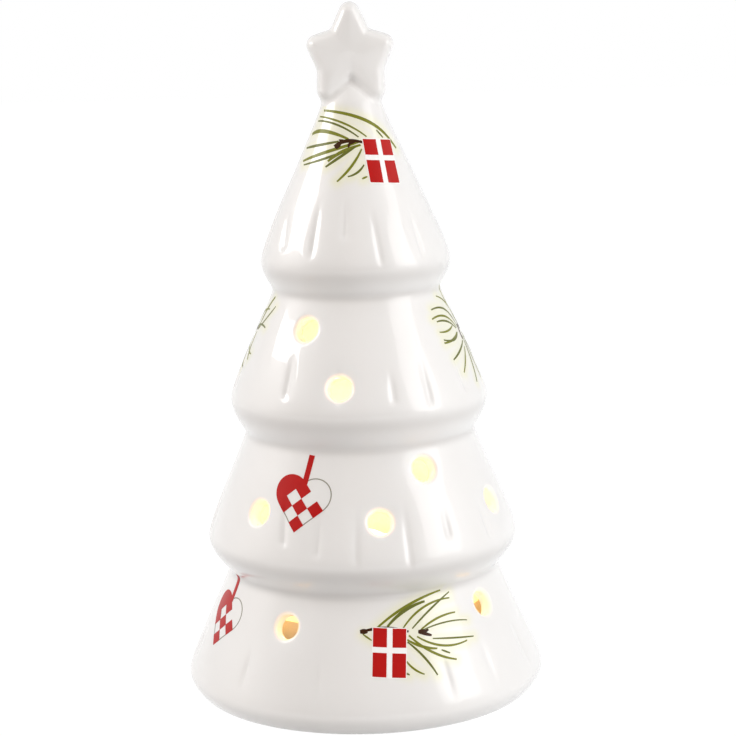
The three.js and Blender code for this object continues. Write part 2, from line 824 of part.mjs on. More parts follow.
const pinHalf = barrelLength / 2 + pinOverhang;
add(unit, 'hinge_pin', bar(pinRadius, -pinHalf, pinHalf), zincSteel, [0, hingeY, hingeZ]);
add(unit, 'battery_door', batteryDoor(), blackPlastic);

screwPlaces.forEach(([x, y], i) => add(unit, `screw_${i + 1}`, screw(), zincSteel, [x, y, 0]));

export default figurine;
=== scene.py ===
"""The looks of a Christmas tree figurine: a tree of white glazed earthenware in four tiers, with a
star on its tip, printed sprigs, flags and woven hearts, and warm light behind its round holes."""

import json
import math

import bpy
import numpy as np
from mathutils import Matrix, Vector
from mathutils.geometry import delaunay_2d_cdt
from mathutils.kdtree import KDTree


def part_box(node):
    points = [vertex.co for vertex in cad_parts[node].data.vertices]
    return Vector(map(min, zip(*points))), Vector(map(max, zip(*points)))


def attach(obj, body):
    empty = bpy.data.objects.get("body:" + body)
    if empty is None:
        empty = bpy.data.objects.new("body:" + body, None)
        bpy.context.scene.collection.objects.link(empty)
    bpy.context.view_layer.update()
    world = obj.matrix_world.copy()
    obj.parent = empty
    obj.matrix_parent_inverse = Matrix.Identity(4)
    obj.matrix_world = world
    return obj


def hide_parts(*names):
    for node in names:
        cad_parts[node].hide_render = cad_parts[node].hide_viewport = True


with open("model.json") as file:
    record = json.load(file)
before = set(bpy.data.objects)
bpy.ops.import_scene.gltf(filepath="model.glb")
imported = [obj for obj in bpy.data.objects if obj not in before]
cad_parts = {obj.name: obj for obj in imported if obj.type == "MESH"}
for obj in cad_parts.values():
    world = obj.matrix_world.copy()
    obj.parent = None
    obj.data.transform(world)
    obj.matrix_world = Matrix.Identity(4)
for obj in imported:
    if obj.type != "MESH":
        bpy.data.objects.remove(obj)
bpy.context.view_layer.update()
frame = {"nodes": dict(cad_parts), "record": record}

MM = 0.001

# Sizes of the tree in millimetres, the same as in the frame

# The widest radius of each tier, its height, and the radius and height of the crease above it
TIERS = (
    (44.5, 4.6, 33.6, 31.2),
    (38.5, 39.3, 28.5, 65.5),
    (31.9, 73.8, 20.6, 100.8),
    (23.4, 107.4, 7.2, 146.0),
)
NECK_RADIUS, NECK_HEIGHT = TIERS[-1][2:]
TIP_HEIGHT = 152.5
WALL = 3.8
CAVITY_TOP = ((0, 140.3), (4.0, 139.6), (6.0, 137.6))
FOOT_RADIUS = 41.9
RECESS_RADIUS = 37.0
RECESS_HEIGHT = 2.9
FLOOR_TOP = 6.5
OPENING_RADIUS = 32.0
FLOOR_COVE = 1.5
OPENING_EDGE = 0.6
FOOT_EDGE = 0.5
HOLE_RADIUS = 2.9

# Turn from the front in degrees and height of each light hole; each comes again half a turn on
FRONT_HOLES = (
    (-31, 23.8),
    (54, 25.5),
    (-46, 50.2),
    (7, 49.6),
    (66, 49.5),
    (30, 60.3),
    (-9, 80.8),
    (-31.5, 93.6),
)
HOLES = [(turn + half, height) for turn, height in FRONT_HOLES for half in (0, 180)]

# Half width, height over the tip of the tree, of the corners of the star's flat face, from the top
STAR_CORNERS = ((0, 14.9), (2.8, 8.8), (8.0, 7.2), (5.6, 1.55), (5.8, -3.7), (0, 2.2))
STAR_HALF_THICKNESS = 5.2
STAR_EDGE_SPREAD = 2.5
STAR_EDGE_ROUND = 3.7
STAR_FORWARD = 0.8
STAR_CROWN = 0.5
STAR_CROWN_REACH = 2.5

# How the star melts into the neck, and the box of cells that its surface is found in
STAR_MELT = 1.8
NECK_SLOPE = 0.94
NECK_SUNK = 0.05
STAR_SOFTNESS = 0.42
STAR_CUT_HEIGHT = 143.0
STAR_CELL = 0.25
STAR_BOX_LOW = (-12.0, -9.5, 141.0)
STAR_BOX_SIZE = (24.0, 19.0, 30.5)

# How fine the surface of the shell is
COLUMNS = 432
ROW = 0.5
INNER_ROW = 2.0
SOFTNESS = 0.55
FINE_STEP = 0.05

# Rims of the light holes
RIM_ROUND = 1.0
RIM_STEPS = 5
RIM_SIDES = 48
LOOP_CLEARANCE = 0.35
NEAREST_LANDING, FARTHEST_LANDING = 1.0, 14.0
LANDING_ROUNDS = 30
DIMPLE_DEPTH = 0.3
DIMPLE_RADIUS = 4.6
DIMPLE_FLATNESS = 1.08


# Photograph's camera, in metres and radians, its lens in millimetres

CAMERA_PLACE = (0.0, -0.5146, 0.17274)
CAMERA_LENS = 103.1
CAMERA_SENSOR = 36.0
CAMERA_YAW = 0.00466
CAMERA_PITCH = 0.178
CAMERA_ROLL = -0.0251


# Warm light of the unit inside, in linear colour

GLOW_COLOUR = (1.0, 0.6, 0.22)
DOME_GLOW = 2.6


# Small helpers


def linear(code):
    """A colour written as an sRGB hex value, as the linear colour that a shader takes."""
    parts = [int(code[i : i + 2], 16) / 255 for i in (1, 3, 5)]
    return tuple(c / 12.92 if c < 0.04045 else ((c + 0.055) / 1.055) ** 2.4 for c in parts) + (1.0,)


def add(tree, kind, inputs=None, **settings):
    """Adds a node; inputs gives each named or numbered socket a value or another node's output."""
    made = tree.nodes.new(kind)
    for key, value in settings.items():
        setattr(made, key, value)
    for key, value in (inputs or {}).items():
        if isinstance(value, bpy.types.NodeSocket):
            tree.links.new(value, made.inputs[key])
        else:
            made.inputs[key].default_value = value
    return made


def new_material(name):
    """An empty material and its node tree."""
    material = bpy.data.materials.new(name)
    material.use_nodes = True
    material.node_tree.nodes.clear()
    return material, material.node_tree


def close(tree, surface):
    """Joins a shader to the material's output."""
    add(tree, "ShaderNodeOutputMaterial", {"Surface": surface})


def mottled(tree, tones, grain, stretch=(1, 1, 1)):
    """A colour that wanders between two tones in grains of a size in millimetres, and the grains."""
    where = add(tree, "ShaderNodeTexCoord").outputs["Object"]
    drawn = add(tree, "ShaderNodeMapping", {"Vector": where, "Scale": stretch}).outputs["Vector"]
    size = {"Vector": drawn, "Scale": 1000 / grain, "Detail": 3.0}
    grains = add(tree, "ShaderNodeTexNoise", size).outputs["Fac"]
    mixed = {"Factor": grains, "A": tones[0], "B": tones[1]}
    return add(tree, "ShaderNodeMix", mixed, data_type="RGBA").outputs["Result"], grains


def put_in(name, data):
    """A new object in the scene for a mesh, a lamp or a camera."""
    made = bpy.data.objects.new(name, data)
    bpy.context.scene.collection.objects.link(made)
    return made


def new_piece(name, vertices, faces, materials, body):
    """A smooth mesh piece from points in millimetres that rides on a body of the frame."""
    mesh = bpy.data.meshes.new(name)
    mesh.from_pydata((np.asarray(vertices) * MM).tolist(), [], faces)
    mesh.validate()
    for material in materials:
        mesh.materials.append(material)
    mesh.polygons.foreach_set("use_smooth", [True] * len(mesh.polygons))
    piece = put_in(name, mesh)
    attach(piece, body)
    return piece


# Outline of the tree


def bezier(start, start_pull, end_pull, end, steps=48):
    """Points of a cubic curve, without its first."""
    t = np.linspace(0, 1, steps + 1)[1:, None]
    a, b, c, d = [np.array(corner, float) for corner in (start, start_pull, end_pull, end)]
    return (1 - t) ** 3 * a + 3 * (1 - t) ** 2 * t * b + 3 * (1 - t) * t**2 * c + t**3 * d


def underside(crease, edge):
    """The underside of a tier rolls out of the crease below it and over into its edge."""
    out, rise = edge[0] - crease[0], edge[1] - crease[1]
    out_of_crease = (crease[0] + 0.12 * out, crease[1] + 0.15 * rise)
    into_edge = (edge[0] - 0.03 * out, edge[1] - 0.46 * rise)
    return bezier(crease, out_of_crease, into_edge, edge)


def flank(edge, top):
    """The flank leans in from the edge to the next crease, with a small cove under it."""
    lean, rise = edge[0] - top[0], top[1] - edge[1]
    over_edge = (edge[0], edge[1] + 0.134 * rise)
    into_cove = (top[0] + 0.11 * lean, top[1] - 0.172 * rise)
    return bezier(edge, over_edge, into_cove, top)


def outer_corners():
    """The outside of the tree from the inner edge of its foot up to its tip."""
    runs = [np.array([(RECESS_RADIUS, 0.0), (FOOT_RADIUS, 0.0)])]
    here = (FOOT_RADIUS, 0.0)
    for edge_radius, edge_height, top_radius, top_height in TIERS:
        edge, top = (edge_radius, edge_height), (top_radius, top_height)
        runs += [underside(here, edge), flank(edge, top)]
        here = top
    up_neck = (NECK_RADIUS * 0.72, NECK_HEIGHT + 0.6 * (TIP_HEIGHT - NECK_HEIGHT))
    runs.append(bezier(here, up_neck, (NECK_RADIUS * 0.4, TIP_HEIGHT), (0, TIP_HEIGHT)))
    return np.vstack(runs)


def inner_corners():
    """The cavity from its top down to the floor, the opening and the recess under the foot."""
    edge_wall = WALL * 1.15
    floor_radius = TIERS[0][0] - edge_wall
    points = list(CAVITY_TOP)
    for below, (edge_radius, edge_height, _, _) in reversed(list(zip(TIERS, TIERS[1:]))):
        points.append((edge_radius - edge_wall, edge_height + WALL * 0.35))
        points.append((below[2] - WALL, below[3] + WALL * 0.1))
    points += [
        (floor_radius, FLOOR_TOP + FLOOR_COVE),
        (floor_radius - FLOOR_COVE, FLOOR_TOP),
        (OPENING_RADIUS + OPENING_EDGE, FLOOR_TOP),
        (OPENING_RADIUS, FLOOR_TOP - OPENING_EDGE),
        (OPENING_RADIUS, RECESS_HEIGHT + FOOT_EDGE),
        (OPENING_RADIUS + FOOT_EDGE, RECESS_HEIGHT),
        (RECESS_RADIUS - FOOT_EDGE, RECESS_HEIGHT),
        (RECESS_RADIUS, RECESS_HEIGHT - FOOT_EDGE),
    ]
    return np.array(points, float)


def along(points, step, softness=0.0):
    """A line with its points evenly spaced, about a step apart, and its corners softened."""
    length = np.concatenate([[0], np.cumsum(np.hypot(*np.diff(points, axis=0).T))])
    fine = np.linspace(0, length[-1], int(length[-1] / FINE_STEP) + 1)
    line = np.stack([np.interp(fine, length, points[:, k]) for k in (0, 1)], 1)
    if softness:
        reach = int(3 * softness / FINE_STEP)
        weights = np.exp(-0.5 * (np.arange(-reach, reach + 1) * FINE_STEP / softness) ** 2)
        weights /= weights.sum()
        before, after = 2 * line[0] - line[reach:0:-1], 2 * line[-1] - line[-2 : -reach - 2 : -1]
        padded = np.vstack([before, line, after])
        line = np.stack([np.convolve(padded[:, k], weights, "valid") for k in (0, 1)], 1)
    count = max(int(length[-1] / step), 2)
    pick = np.linspace(0, len(line) - 1, count + 1).round().astype(int)
    return line[pick]


OUTER = along(outer_corners(), ROW, SOFTNESS)
OUTER[-1] = (0, OUTER[-1][1])
OUTER[:, 1] = np.maximum(OUTER[:, 1], 0)
INNER = along(inner_corners(), INNER_ROW)
INNER[0] = (0, INNER[0][1])
OUTER_NORMAL = np.gradient(OUTER, axis=0)[:, ::-1] * (1, -1)
OUTER_NORMAL /= np.hypot(*OUTER_NORMAL.T)[:, None]

# Row from which the outside only rises, so that a height names one row
RISING_FROM = int(np.argmax(OUTER[:, 0])) // 2


def row_at(height):
    """The row of the outside, as a number with a fraction, at a height in millimetres."""
    return np.interp(height, OUTER[RISING_FROM:, 1], np.arange(RISING_FROM, len(OUTER)))


def at_row(line, row):
    """The two numbers that a line of points holds at rows with a fraction."""
    return [np.interp(row, np.arange(len(line)), line[:, k]) for k in (0, 1)]


def around(turn, radius, height):
    """Points at a turn in degrees from the front, a radius and a height."""
    angle = np.radians(turn)
    return np.stack([radius * np.sin(angle), -radius * np.cos(angle), height], -1)


def arc(turn, centre, radius):
    """How far a turn lies from another round a radius, in millimetres."""
    return ((turn - centre + 180) % 360 - 180) * math.pi / 180 * radius


# Relief of the outside: pressed flutes, dimples round the holes, and the hand's small unevenness

# Turn and height where each flute that the front shows starts, below, and ends, above
FLUTES = (
    (-52.6, 112, -58.6, 120),
    (-28, 111, -28, 123),
    (-7, 115, -7, 124),
    (15.5, 109, 13, 121),
    (45, 110, 45, 121),
    (-35, 78, -36, 88),
    (-9.5, 77, -10, 86),
    (15.5, 77, 15.5, 84),
    (33, 75.6, 33, 86.5),
    (58, 77, 57, 86),
    (-30.5, 44, -33, 53),
    (-17, 42, -17, 51),
    (-2.5, 40, -2.5, 53),
    (17, 39, 17, 53),
    (34, 44, 34, 52),
    (55, 42, 54, 51),
    (-44, 8, -44, 18),
    (-16, 7, -16, 19),
    (28, 7, 27, 17),
    (46, 8, 45, 18),
    (68, 8, 67, 18),
)
BACK_FLUTE_PITCH = 26
BACK_FLUTE_FROM = 97
BACK_FLUTE_COUNT = 8
BACK_FLUTE_SPANS = ((8, 18), (41, 52), (77, 86), (110, 121))
FLUTE_DEPTH = 0.34
FLUTE_WIDTH = 0.75
FLUTE_SHOULDER_DEPTH = 0.15
FLUTE_SHOULDER_WIDTH = 2.0
HAND_WAVE = 0.035

# The relief fades away near the foot and the star: the height where it ends, and over how much
FOOT_CALM, FOOT_FADE = 6, 8
STAR_CALM, STAR_FADE = 138, 10


def ease(share):
    """A soft step from 0 to 1."""
    share = np.clip(share, 0, 1)
    return share * share * (3 - 2 * share)


def all_flutes():
    """The flutes that the front shows, and the same row of them carried on round the back."""
    flutes = list(FLUTES)
    for tier, (low, high) in enumerate(BACK_FLUTE_SPANS):
        for i in range(BACK_FLUTE_COUNT):
            turn = BACK_FLUTE_FROM + BACK_FLUTE_PITCH * i + 3 * math.sin(2.3 * i + tier)
            flutes.append((turn, low, turn - 1, high + math.sin(1.7 * i + tier)))
    return flutes


ALL_FLUTES = all_flutes()


def relief(turn, height, radius):
    """How far the outside stands out of its plain outline, in millimetres."""
    out = np.zeros(np.broadcast(turn, height, radius).shape)
    for low_turn, low, high_turn, high in ALL_FLUTES:
        share = (height - low) / (high - low)
        window = ease(share / 0.25 + 0.5) * (1 - ease((share - 0.3) / 0.9))
        centre = low_turn + (high_turn - low_turn) * share
        away = arc(turn, centre, radius)
        out -= window * FLUTE_DEPTH * np.exp(-((away / FLUTE_WIDTH) ** 2))
        out -= window * FLUTE_SHOULDER_DEPTH * np.exp(-((away / FLUTE_SHOULDER_WIDTH) ** 2))
    for hole_turn, hole_height in HOLES:
        away, rise = arc(turn, hole_turn, radius), (height - hole_height) * DIMPLE_FLATNESS
        out -= DIMPLE_DEPTH * np.exp(-(away**2 + rise**2) / DIMPLE_RADIUS**2)
    angle = np.radians(turn)
    waves = (
        np.sin(2 * angle + 0.11 * height + 0.4)
        + np.sin(3 * angle - 0.17 * height + 1.9)
        + 0.6 * np.sin(7 * angle + 0.31 * height + 0.7)
        + 0.5 * np.sin(11 * angle - 0.43 * height + 2.6)
    )
    over_foot = np.clip((height - FOOT_CALM) / FOOT_FADE, 0, 1)
    under_star = np.clip((STAR_CALM - height) / STAR_FADE, 0, 1)
    return (out + HAND_WAVE * (waves - 3)) * over_foot * under_star


def outside(turn, row, proud=0.0):
    """Points on the outside of the tree; turn in degrees from the front, row from the foot up."""
    radius, height = at_row(OUTER, row)
    out, up = at_row(OUTER_NORMAL, row)
    lift = relief(turn, height, radius) + proud
    return around(turn, radius + lift * out, height + lift * up)


def inside(turn, row):
    """Points on the wall of the cavity; row from its top down."""
    return around(turn, *at_row(INNER, row))


# Shell mesh: a grid round the outside and one round the cavity, joined by the rims of the holes


def skin(place, row_count, scale, loops, flip):
    """A grid of COLUMNS by rows with each loop of (turn, row) points left open in it; scale is the
    rows per degree at each row. Returns points, faces and the numbers of each loop's points."""
    pitch = 360 / COLUMNS
    turns = np.arange(COLUMNS) * 360 / COLUMNS
    rows = np.arange(row_count)
    grid_turn, grid_row = np.meshgrid(turns, rows)
    points = [place(grid_turn.ravel(), grid_row.ravel())]
    count = COLUMNS * row_count
    open_cells = np.zeros((row_count - 1, COLUMNS), bool)
    faces, numbers = [], []
    for loop in loops:
        first, low = np.floor(loop.min(0) / (pitch, 1)).astype(int) - 1
        last, high = np.ceil(loop.max(0) / (pitch, 1)).astype(int) + 1
        open_cells[low:high, np.arange(first, last) % COLUMNS] = True
        per_degree = float(scale[(low + high) // 2])
        flat_loop = loop * (per_degree, 1)
        centre = flat_loop.mean(0)
        reach = np.hypot(*(flat_loop - centre).T).max() + LOOP_CLEARANCE
        flat, ids = [Vector(p) for p in flat_loop], list(range(count, count + len(loop)))
        edges = [(i, (i + 1) % len(loop)) for i in range(len(loop))]
        for j in range(low, high + 1):
            for i in range(first, last + 1):
                p = Vector((i * pitch * per_degree, j))
                border = i in (first, last) or j in (low, high)
                if border or (p - Vector(centre)).length > reach:
                    flat.append(p)
                    ids.append(j * COLUMNS + i % COLUMNS)
        _, _, triangles, origin, _, _ = delaunay_2d_cdt(flat, edges, [], 0, 1e-6)
        for triangle in triangles:
            corners = [origin[k][0] for k in triangle]
            if all(c < len(loop) for c in corners):
                continue
            faces.append([ids[c] for c in corners][:: -1 if flip else 1])
        points.append(place(loop[:, 0], loop[:, 1]))
        numbers.append(np.arange(count, count + len(loop)))
        count += len(loop)
    j, i = np.nonzero(~open_cells)
    right = (i + 1) % COLUMNS
    this, over = j * COLUMNS, (j + 1) * COLUMNS
    quads = np.stack([this + i, this + right, over + right, over + i], 1)
    faces += (quads[:, ::-1] if flip else quads).tolist()
    return np.vstack(points), faces, numbers


def hole_loop(turn, height, reach):
    """The loop of (turn, row) points round a light hole, at a distance from its middle."""
    middle = row_at(height)
    angle = np.arange(RIM_SIDES) * 2 * math.pi / RIM_SIDES
    row = middle + reach * np.sin(angle) / ROW
    return np.stack([turn + np.degrees(reach * np.cos(angle) / at_row(OUTER, row)[0]), row], 1)


def drill_axis(turn, height):
    """The direction into the wall that a light hole is drilled in."""
    return -around(turn, *at_row(OUTER_NORMAL, row_at(height)))


def meet_cavity(points, axis):
    """Where lines from points along an axis meet the wall of the cavity, as (turn, row)."""
    heights, radii = INNER[::-1, 1], INNER[::-1, 0]
    near, far = np.full(len(points), NEAREST_LANDING), np.full(len(points), FARTHEST_LANDING)
    for _ in range(LANDING_ROUNDS):
        middle = (near + far) / 2
        at = points + middle[:, None] * axis
        still_in_wall = np.hypot(at[:, 0], at[:, 1]) > np.interp(at[:, 2], heights, radii)
        near = np.where(still_in_wall, middle, near)
        far = np.where(still_in_wall, far, middle)
    at = points + near[:, None] * axis
    turn = np.degrees(np.arctan2(at[:, 0], -at[:, 1]))
    rows = np.arange(len(INNER))[::-1]
    return np.stack([turn, np.interp(at[:, 2], heights, rows)], 1)


def strip(first, second):
    """Quads between two loops of point numbers."""
    return np.stack([first, np.roll(first, -1), np.roll(second, -1), second], 1).tolist()


def shell_mesh():
    """Points of the whole shell, its glazed faces, and its faces of bare clay."""
    outer_loops, inner_loops, throats = [], [], []
    for turn, height in HOLES:
        axis = drill_axis(turn, height)
        outer_loops.append(hole_loop(turn, height, HOLE_RADIUS + RIM_ROUND))
        rings = []
        for step in range(1, RIM_STEPS + 1):
            angle = step / RIM_STEPS * math.pi / 2
            loop = hole_loop(turn, height, HOLE_RADIUS + RIM_ROUND * (1 - math.sin(angle)))
            rings.append(outside(*loop.T) + axis * RIM_ROUND * (1 - math.cos(angle)))
        landing = meet_cavity(outside(*hole_loop(turn, height, HOLE_RADIUS).T), axis)
        landing[:, 0] += np.round((turn - landing[:, 0]) / 360) * 360
        inner_loops.append(landing)
        throats.append(rings)
    outer_scale = np.radians(OUTER[:, 0]) / ROW
    inner_scale = np.radians(INNER[:, 0]) / INNER_ROW
    shell, faces, outer_rings = skin(outside, len(OUTER) - 1, outer_scale, outer_loops, False)
    cavity, cavity_faces, inner_rings = skin(inside, len(INNER), inner_scale, inner_loops, True)
    cavity_faces = [[c + len(shell) for c in face] for face in cavity_faces]
    points, count = [shell, cavity], len(shell) + len(cavity)
    for rings, outer_ring, inner_ring in zip(throats, outer_rings, inner_rings):
        before = outer_ring
        for ring in rings:
            after = np.arange(count, count + RIM_SIDES)
            points.append(ring)
            faces += strip(before, after)
            before, count = after, count + RIM_SIDES
        faces += strip(before, inner_ring + len(shell))
    tip = count
    points.append(np.array([[0, 0, OUTER[-1, 1]]]))
    last = (len(OUTER) - 2) * COLUMNS
    faces += [[last + i, last + (i + 1) % COLUMNS, tip] for i in range(COLUMNS)]
    foot = len(shell) + (len(INNER) - 1) * COLUMNS
    clay = [[foot + i, foot + (i + 1) % COLUMNS, (i + 1) % COLUMNS, i] for i in range(COLUMNS)]
    return np.vstack(points), faces, cavity_faces + clay


# Glaze and bare clay

# Sizes in millimetres of the clouds, specks and orange peel in the glaze, and the peel's depth
GLAZE_CLOUD = 22
GLAZE_SPECK = 1.1
GLAZE_PEEL = 7
GLAZE_RELIEF = 0.25


def glazed_earthenware():
    """White tin glaze over slip cast clay: a thick, bright, slightly wavy glass skin on a soft
    white, with painted grey shade under the tiers' edges and in the creases, tinted pale yellow
    round the printed needles, and with a painted warm glow at the rims of the holes."""
    material, tree = new_material("glazed_earthenware")
    tone, _ = mottled(tree, (linear("#EEECEA"), linear("#F4F3F2")), GLAZE_CLOUD)
    # The grey mixed in here is painted shade under the tiers' edges and in the creases
    for level, code in (("wash", "#F1EFC6"), ("painted_crease_shade", "#B5B0AC")):
        share = add(tree, "ShaderNodeAttribute", attribute_name=level).outputs["Fac"]
        tones = {"Factor": share, "A": tone, "B": linear(code)}
        tone = add(tree, "ShaderNodeMix", tones, data_type="RGBA").outputs["Result"]
    # Painted warm glow at the rims of the holes, given off by the glaze itself
    painted_rim_glow = add(tree, "ShaderNodeAttribute", attribute_name="painted_rim_glow").outputs["Fac"]
    lit = add(tree, "ShaderNodeMath", {0: painted_rim_glow, 1: PAINTED_GLOW_STRENGTH}, operation="MULTIPLY")
    where = add(tree, "ShaderNodeTexCoord").outputs["Object"]
    fine, coarse = [{"Vector": where, "Scale": 1000 / size} for size in (GLAZE_SPECK, GLAZE_PEEL)]
    speck = add(tree, "ShaderNodeTexNoise", {**fine, "Detail": 1.0})
    peel = add(tree, "ShaderNodeTexNoise", {**coarse, "Detail": 1.0})
    parts = {0: speck.outputs["Fac"], 1: 0.12, 2: peel.outputs["Fac"]}
    height = add(tree, "ShaderNodeMath", parts, operation="MULTIPLY_ADD").outputs["Value"]
    skin_wave = {"Strength": 0.12, "Distance": GLAZE_RELIEF * MM, "Height": height}
    bump = add(tree, "ShaderNodeBump", skin_wave)
    sockets = {
        "Base Color": tone,
        "Roughness": 0.32,
        "IOR": 1.5,
        "Coat Weight": 1.0,
        "Coat Roughness": 0.02,
        "Coat IOR": 1.52,
        "Coat Normal": bump.outputs["Normal"],
        "Emission Color": (*GLOW_COLOUR, 1.0),
        "Emission Strength": lit.outputs["Value"],
    }
    close(tree, add(tree, "ShaderNodeBsdfPrincipled", sockets).outputs["BSDF"])
    return material


def grained(name, tones, grain, depth, stretch=(1, 1, 1), **levels):
    """A material whose colour wanders between two tones in grains of a size in millimetres, with
    a low relief of the same grain, its depth in millimetres; levels gives the other sockets."""
    material, tree = new_material(name)
    tone, grains = mottled(tree, [linear(code) for code in tones], grain, stretch)
    raised = {"Strength": 0.5, "Distance": depth * MM, "Height": grains}
    sockets = {"Base Color": tone, "Normal": add(tree, "ShaderNodeBump", raised).outputs["Normal"]}
    sockets.update({key.replace("_", " "): value for key, value in levels.items()})
    close(tree, add(tree, "ShaderNodeBsdfPrincipled", sockets).outputs["BSDF"])
    return material


def biscuit_clay():
    """Bare fired earthenware on the foot and inside: dry, chalky and a little grainy."""
    return grained("biscuit_clay", ("#E6DFD3", "#F1ECE3"), 0.8, 0.1, Roughness=0.85)


# Light unit and its parts

WHITE_ABS = ("#DAD7D0", "#E6E3DD")
# Strength of the painted warm glow on the unit's cover
COVER_PAINTED_GLOW = 0.2
LAMP_COLOUR = (1.0, 0.8, 0.48)
LAMP_GLOW = 3.0

# Coloured rings of the resistor: share of its length and colour
VALUE_RINGS = ((0.3, "#6B3A12"), (0.42, "#1A1A1A"), (0.54, "#B02018"), (0.68, "#C8A24A"))
RING_HALF_WIDTH = 0.3


def glowing(colour, strength):
    """The levels of a material that gives off light."""
    return {"Emission_Color": (*colour, 1.0), "Emission_Strength": strength}


def moulded_plastic(name, tones, **levels):
    """Moulded ABS with a spark-eroded grain: satin, with a soft broad shine."""
    return grained(name, tones, 0.35, 0.04, Roughness=0.48, IOR=1.54, **levels)


def milky_silicone():
    """Milky silicone rubber: soft, a little see-through, with a waxy shine."""
    waxy = {"Subsurface_Weight": 0.4, "Subsurface_Radius": (2 * MM, 2 * MM, 2 * MM)}
    tones = ("#D2D2CB", "#E2E2DC")
    return grained("milky_silicone", tones, 3.0, 0.03, Roughness=0.42, IOR=1.41, **waxy)


def frosted_dome():
    """Frosted polypropylene lit from inside: an even warm glow over a fine matt grain."""
    tones, lit = ("#F4E3C4", "#FFF3DC"), glowing(GLOW_COLOUR, DOME_GLOW)
    return grained("frosted_polypropylene", tones, 0.5, 0.05, Roughness=0.6, IOR=1.49, **lit)


def board_laminate():
    """Green solder mask over glass cloth: a glossy lacquer with the faint weave under it."""
    return grained("solder_mask", ("#0C4A24", "#156434"), 0.6, 0.02, Roughness=0.28, IOR=1.55)


def lit_resin():
    """Clear epoxy of a lamp that is on: a bright warm body with a smooth hard skin."""
    tones, lit = ("#FFE3B0", "#FFF0CF"), glowing(LAMP_COLOUR, LAMP_GLOW)
    return grained("lit_epoxy", tones, 1.5, 0.01, Roughness=0.12, IOR=1.54, **lit)


def resistor_lacquer():
    """Blue lacquer over a rod with coloured value rings, hard and glossy."""
    material = grained("blue_lacquer", ("#5A93AD", "#6BA6BF"), 0.5, 0.02, Roughness=0.25)
    tree = material.node_tree
    shader = next(n for n in tree.nodes if n.type == "BSDF_PRINCIPLED")
    plain = shader.inputs["Base Color"].links[0].from_socket
    low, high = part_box("resistor")
    longest = max(range(3), key=lambda k: high[k] - low[k])
    where = add(tree, "ShaderNodeTexCoord").outputs["Object"]
    along_rod = add(tree, "ShaderNodeSeparateXYZ", {"Vector": where}).outputs[longest]
    for share, code in VALUE_RINGS:
        middle = low[longest] + share * (high[longest] - low[longest])
        off = add(tree, "ShaderNodeMath", {0: along_rod, 1: middle}, operation="SUBTRACT")
        away = add(tree, "ShaderNodeMath", {0: off.outputs["Value"]}, operation="ABSOLUTE")
        within = {0: away.outputs["Value"], 1: RING_HALF_WIDTH * MM}
        ring = add(tree, "ShaderNodeMath", within, operation="LESS_THAN")
        mixed = {"Factor": ring.outputs["Value"], "A": plain, "B": linear(code)}
        plain = add(tree, "ShaderNodeMix", mixed, data_type="RGBA").outputs["Result"]
    tree.links.new(plain, shader.inputs["Base Color"])
    return material


def cell_jacket():
    """Lacquered metal sleeve of a cell: dark, smooth, with a long soft metallic shine."""
    sleeve = {"Roughness": 0.3, "Metallic": 0.7, "Coat_Weight": 0.6, "Coat_Roughness": 0.12}
    return grained("lacquered_sleeve", ("#23282D", "#2E353B"), 0.4, 0.01, (0.1, 1, 1), **sleeve)


def nickel_plate():
    """Nickel plated spring steel: bright, with fine drawing lines."""
    drawn, plated = (0.15, 1, 1), {"Roughness": 0.24, "Metallic": 1.0}
    return grained("nickel_plate", ("#C9C7C0", "#DAD8D2"), 0.2, 0.01, drawn, **plated)


def zinc_plate():
    """Zinc plated steel: a cool, slightly clouded grey metal."""
    return grained("zinc_plate", ("#A9ADB0", "#C3C7C9"), 0.5, 0.02, Roughness=0.36, Metallic=1.0)


def lead_insulation(name, tones):
    """PVC sleeve of a lead: soft plastic with a dull shine."""
    return grained(name, tones, 1.2, 0.03, Roughness=0.5, IOR=1.53)


def painted_glow_cover():
    """White ABS with a painted warm glow that the cover gives off itself, in place of the lamps'
    light on it.
    """
    return moulded_plastic("white_abs_painted_glow", WHITE_ABS, **glowing(GLOW_COLOUR, COVER_PAINTED_GLOW))


def even_out(node):
    """Shades the flats of a round CAD piece as one curve, and leaves its true corners crisp."""
    weld = node.modifiers.new("weld", "WELD")
    weld.merge_threshold = 0.001 * MM
    corners = node.modifiers.new("corners", "EDGE_SPLIT")
    corners.split_angle = math.radians(35)
    node.modifiers.new("even_shading", "WEIGHTED_NORMAL")


def finish_light_unit():
    """Gives each CAD node of the light unit the finish of its own material slot."""
    finishes = {
        "black_plastic": moulded_plastic("black_abs", ("#141516", "#1D1E20")),
        "white_plastic": moulded_plastic("white_abs", WHITE_ABS),
        "clear_silicone": milky_silicone(),
        "frosted_diffuser": frosted_dome(),
        "circuit_board": board_laminate(),
        "led_resin": lit_resin(),
        "resistor_lacquer": resistor_lacquer(),
        "cell_jacket": cell_jacket(),
        "nickel": nickel_plate(),
        "zinc_steel": zinc_plate(),
        "red_lead": lead_insulation("red_pvc", ("#9C1512", "#B01A15")),
        "black_lead": lead_insulation("black_pvc", ("#121212", "#1B1B1B")),
        "blue_lead": lead_insulation("blue_pvc", ("#1C3E86", "#234A9B")),
    }
    for part in frame["record"]["subparts"]:
        if part["material_slot"] in finishes:
            node = frame["nodes"][part["node"]]
            node.data.materials.clear()
            node.data.materials.append(finishes[part["material_slot"]])
            even_out(node)
    # The cover gets a painted warm glow
    frame["nodes"]["unit_cover"].data.materials[0] = painted_glow_cover()


# Star: its shape and the neck's as distances, melted together as glaze runs into a corner


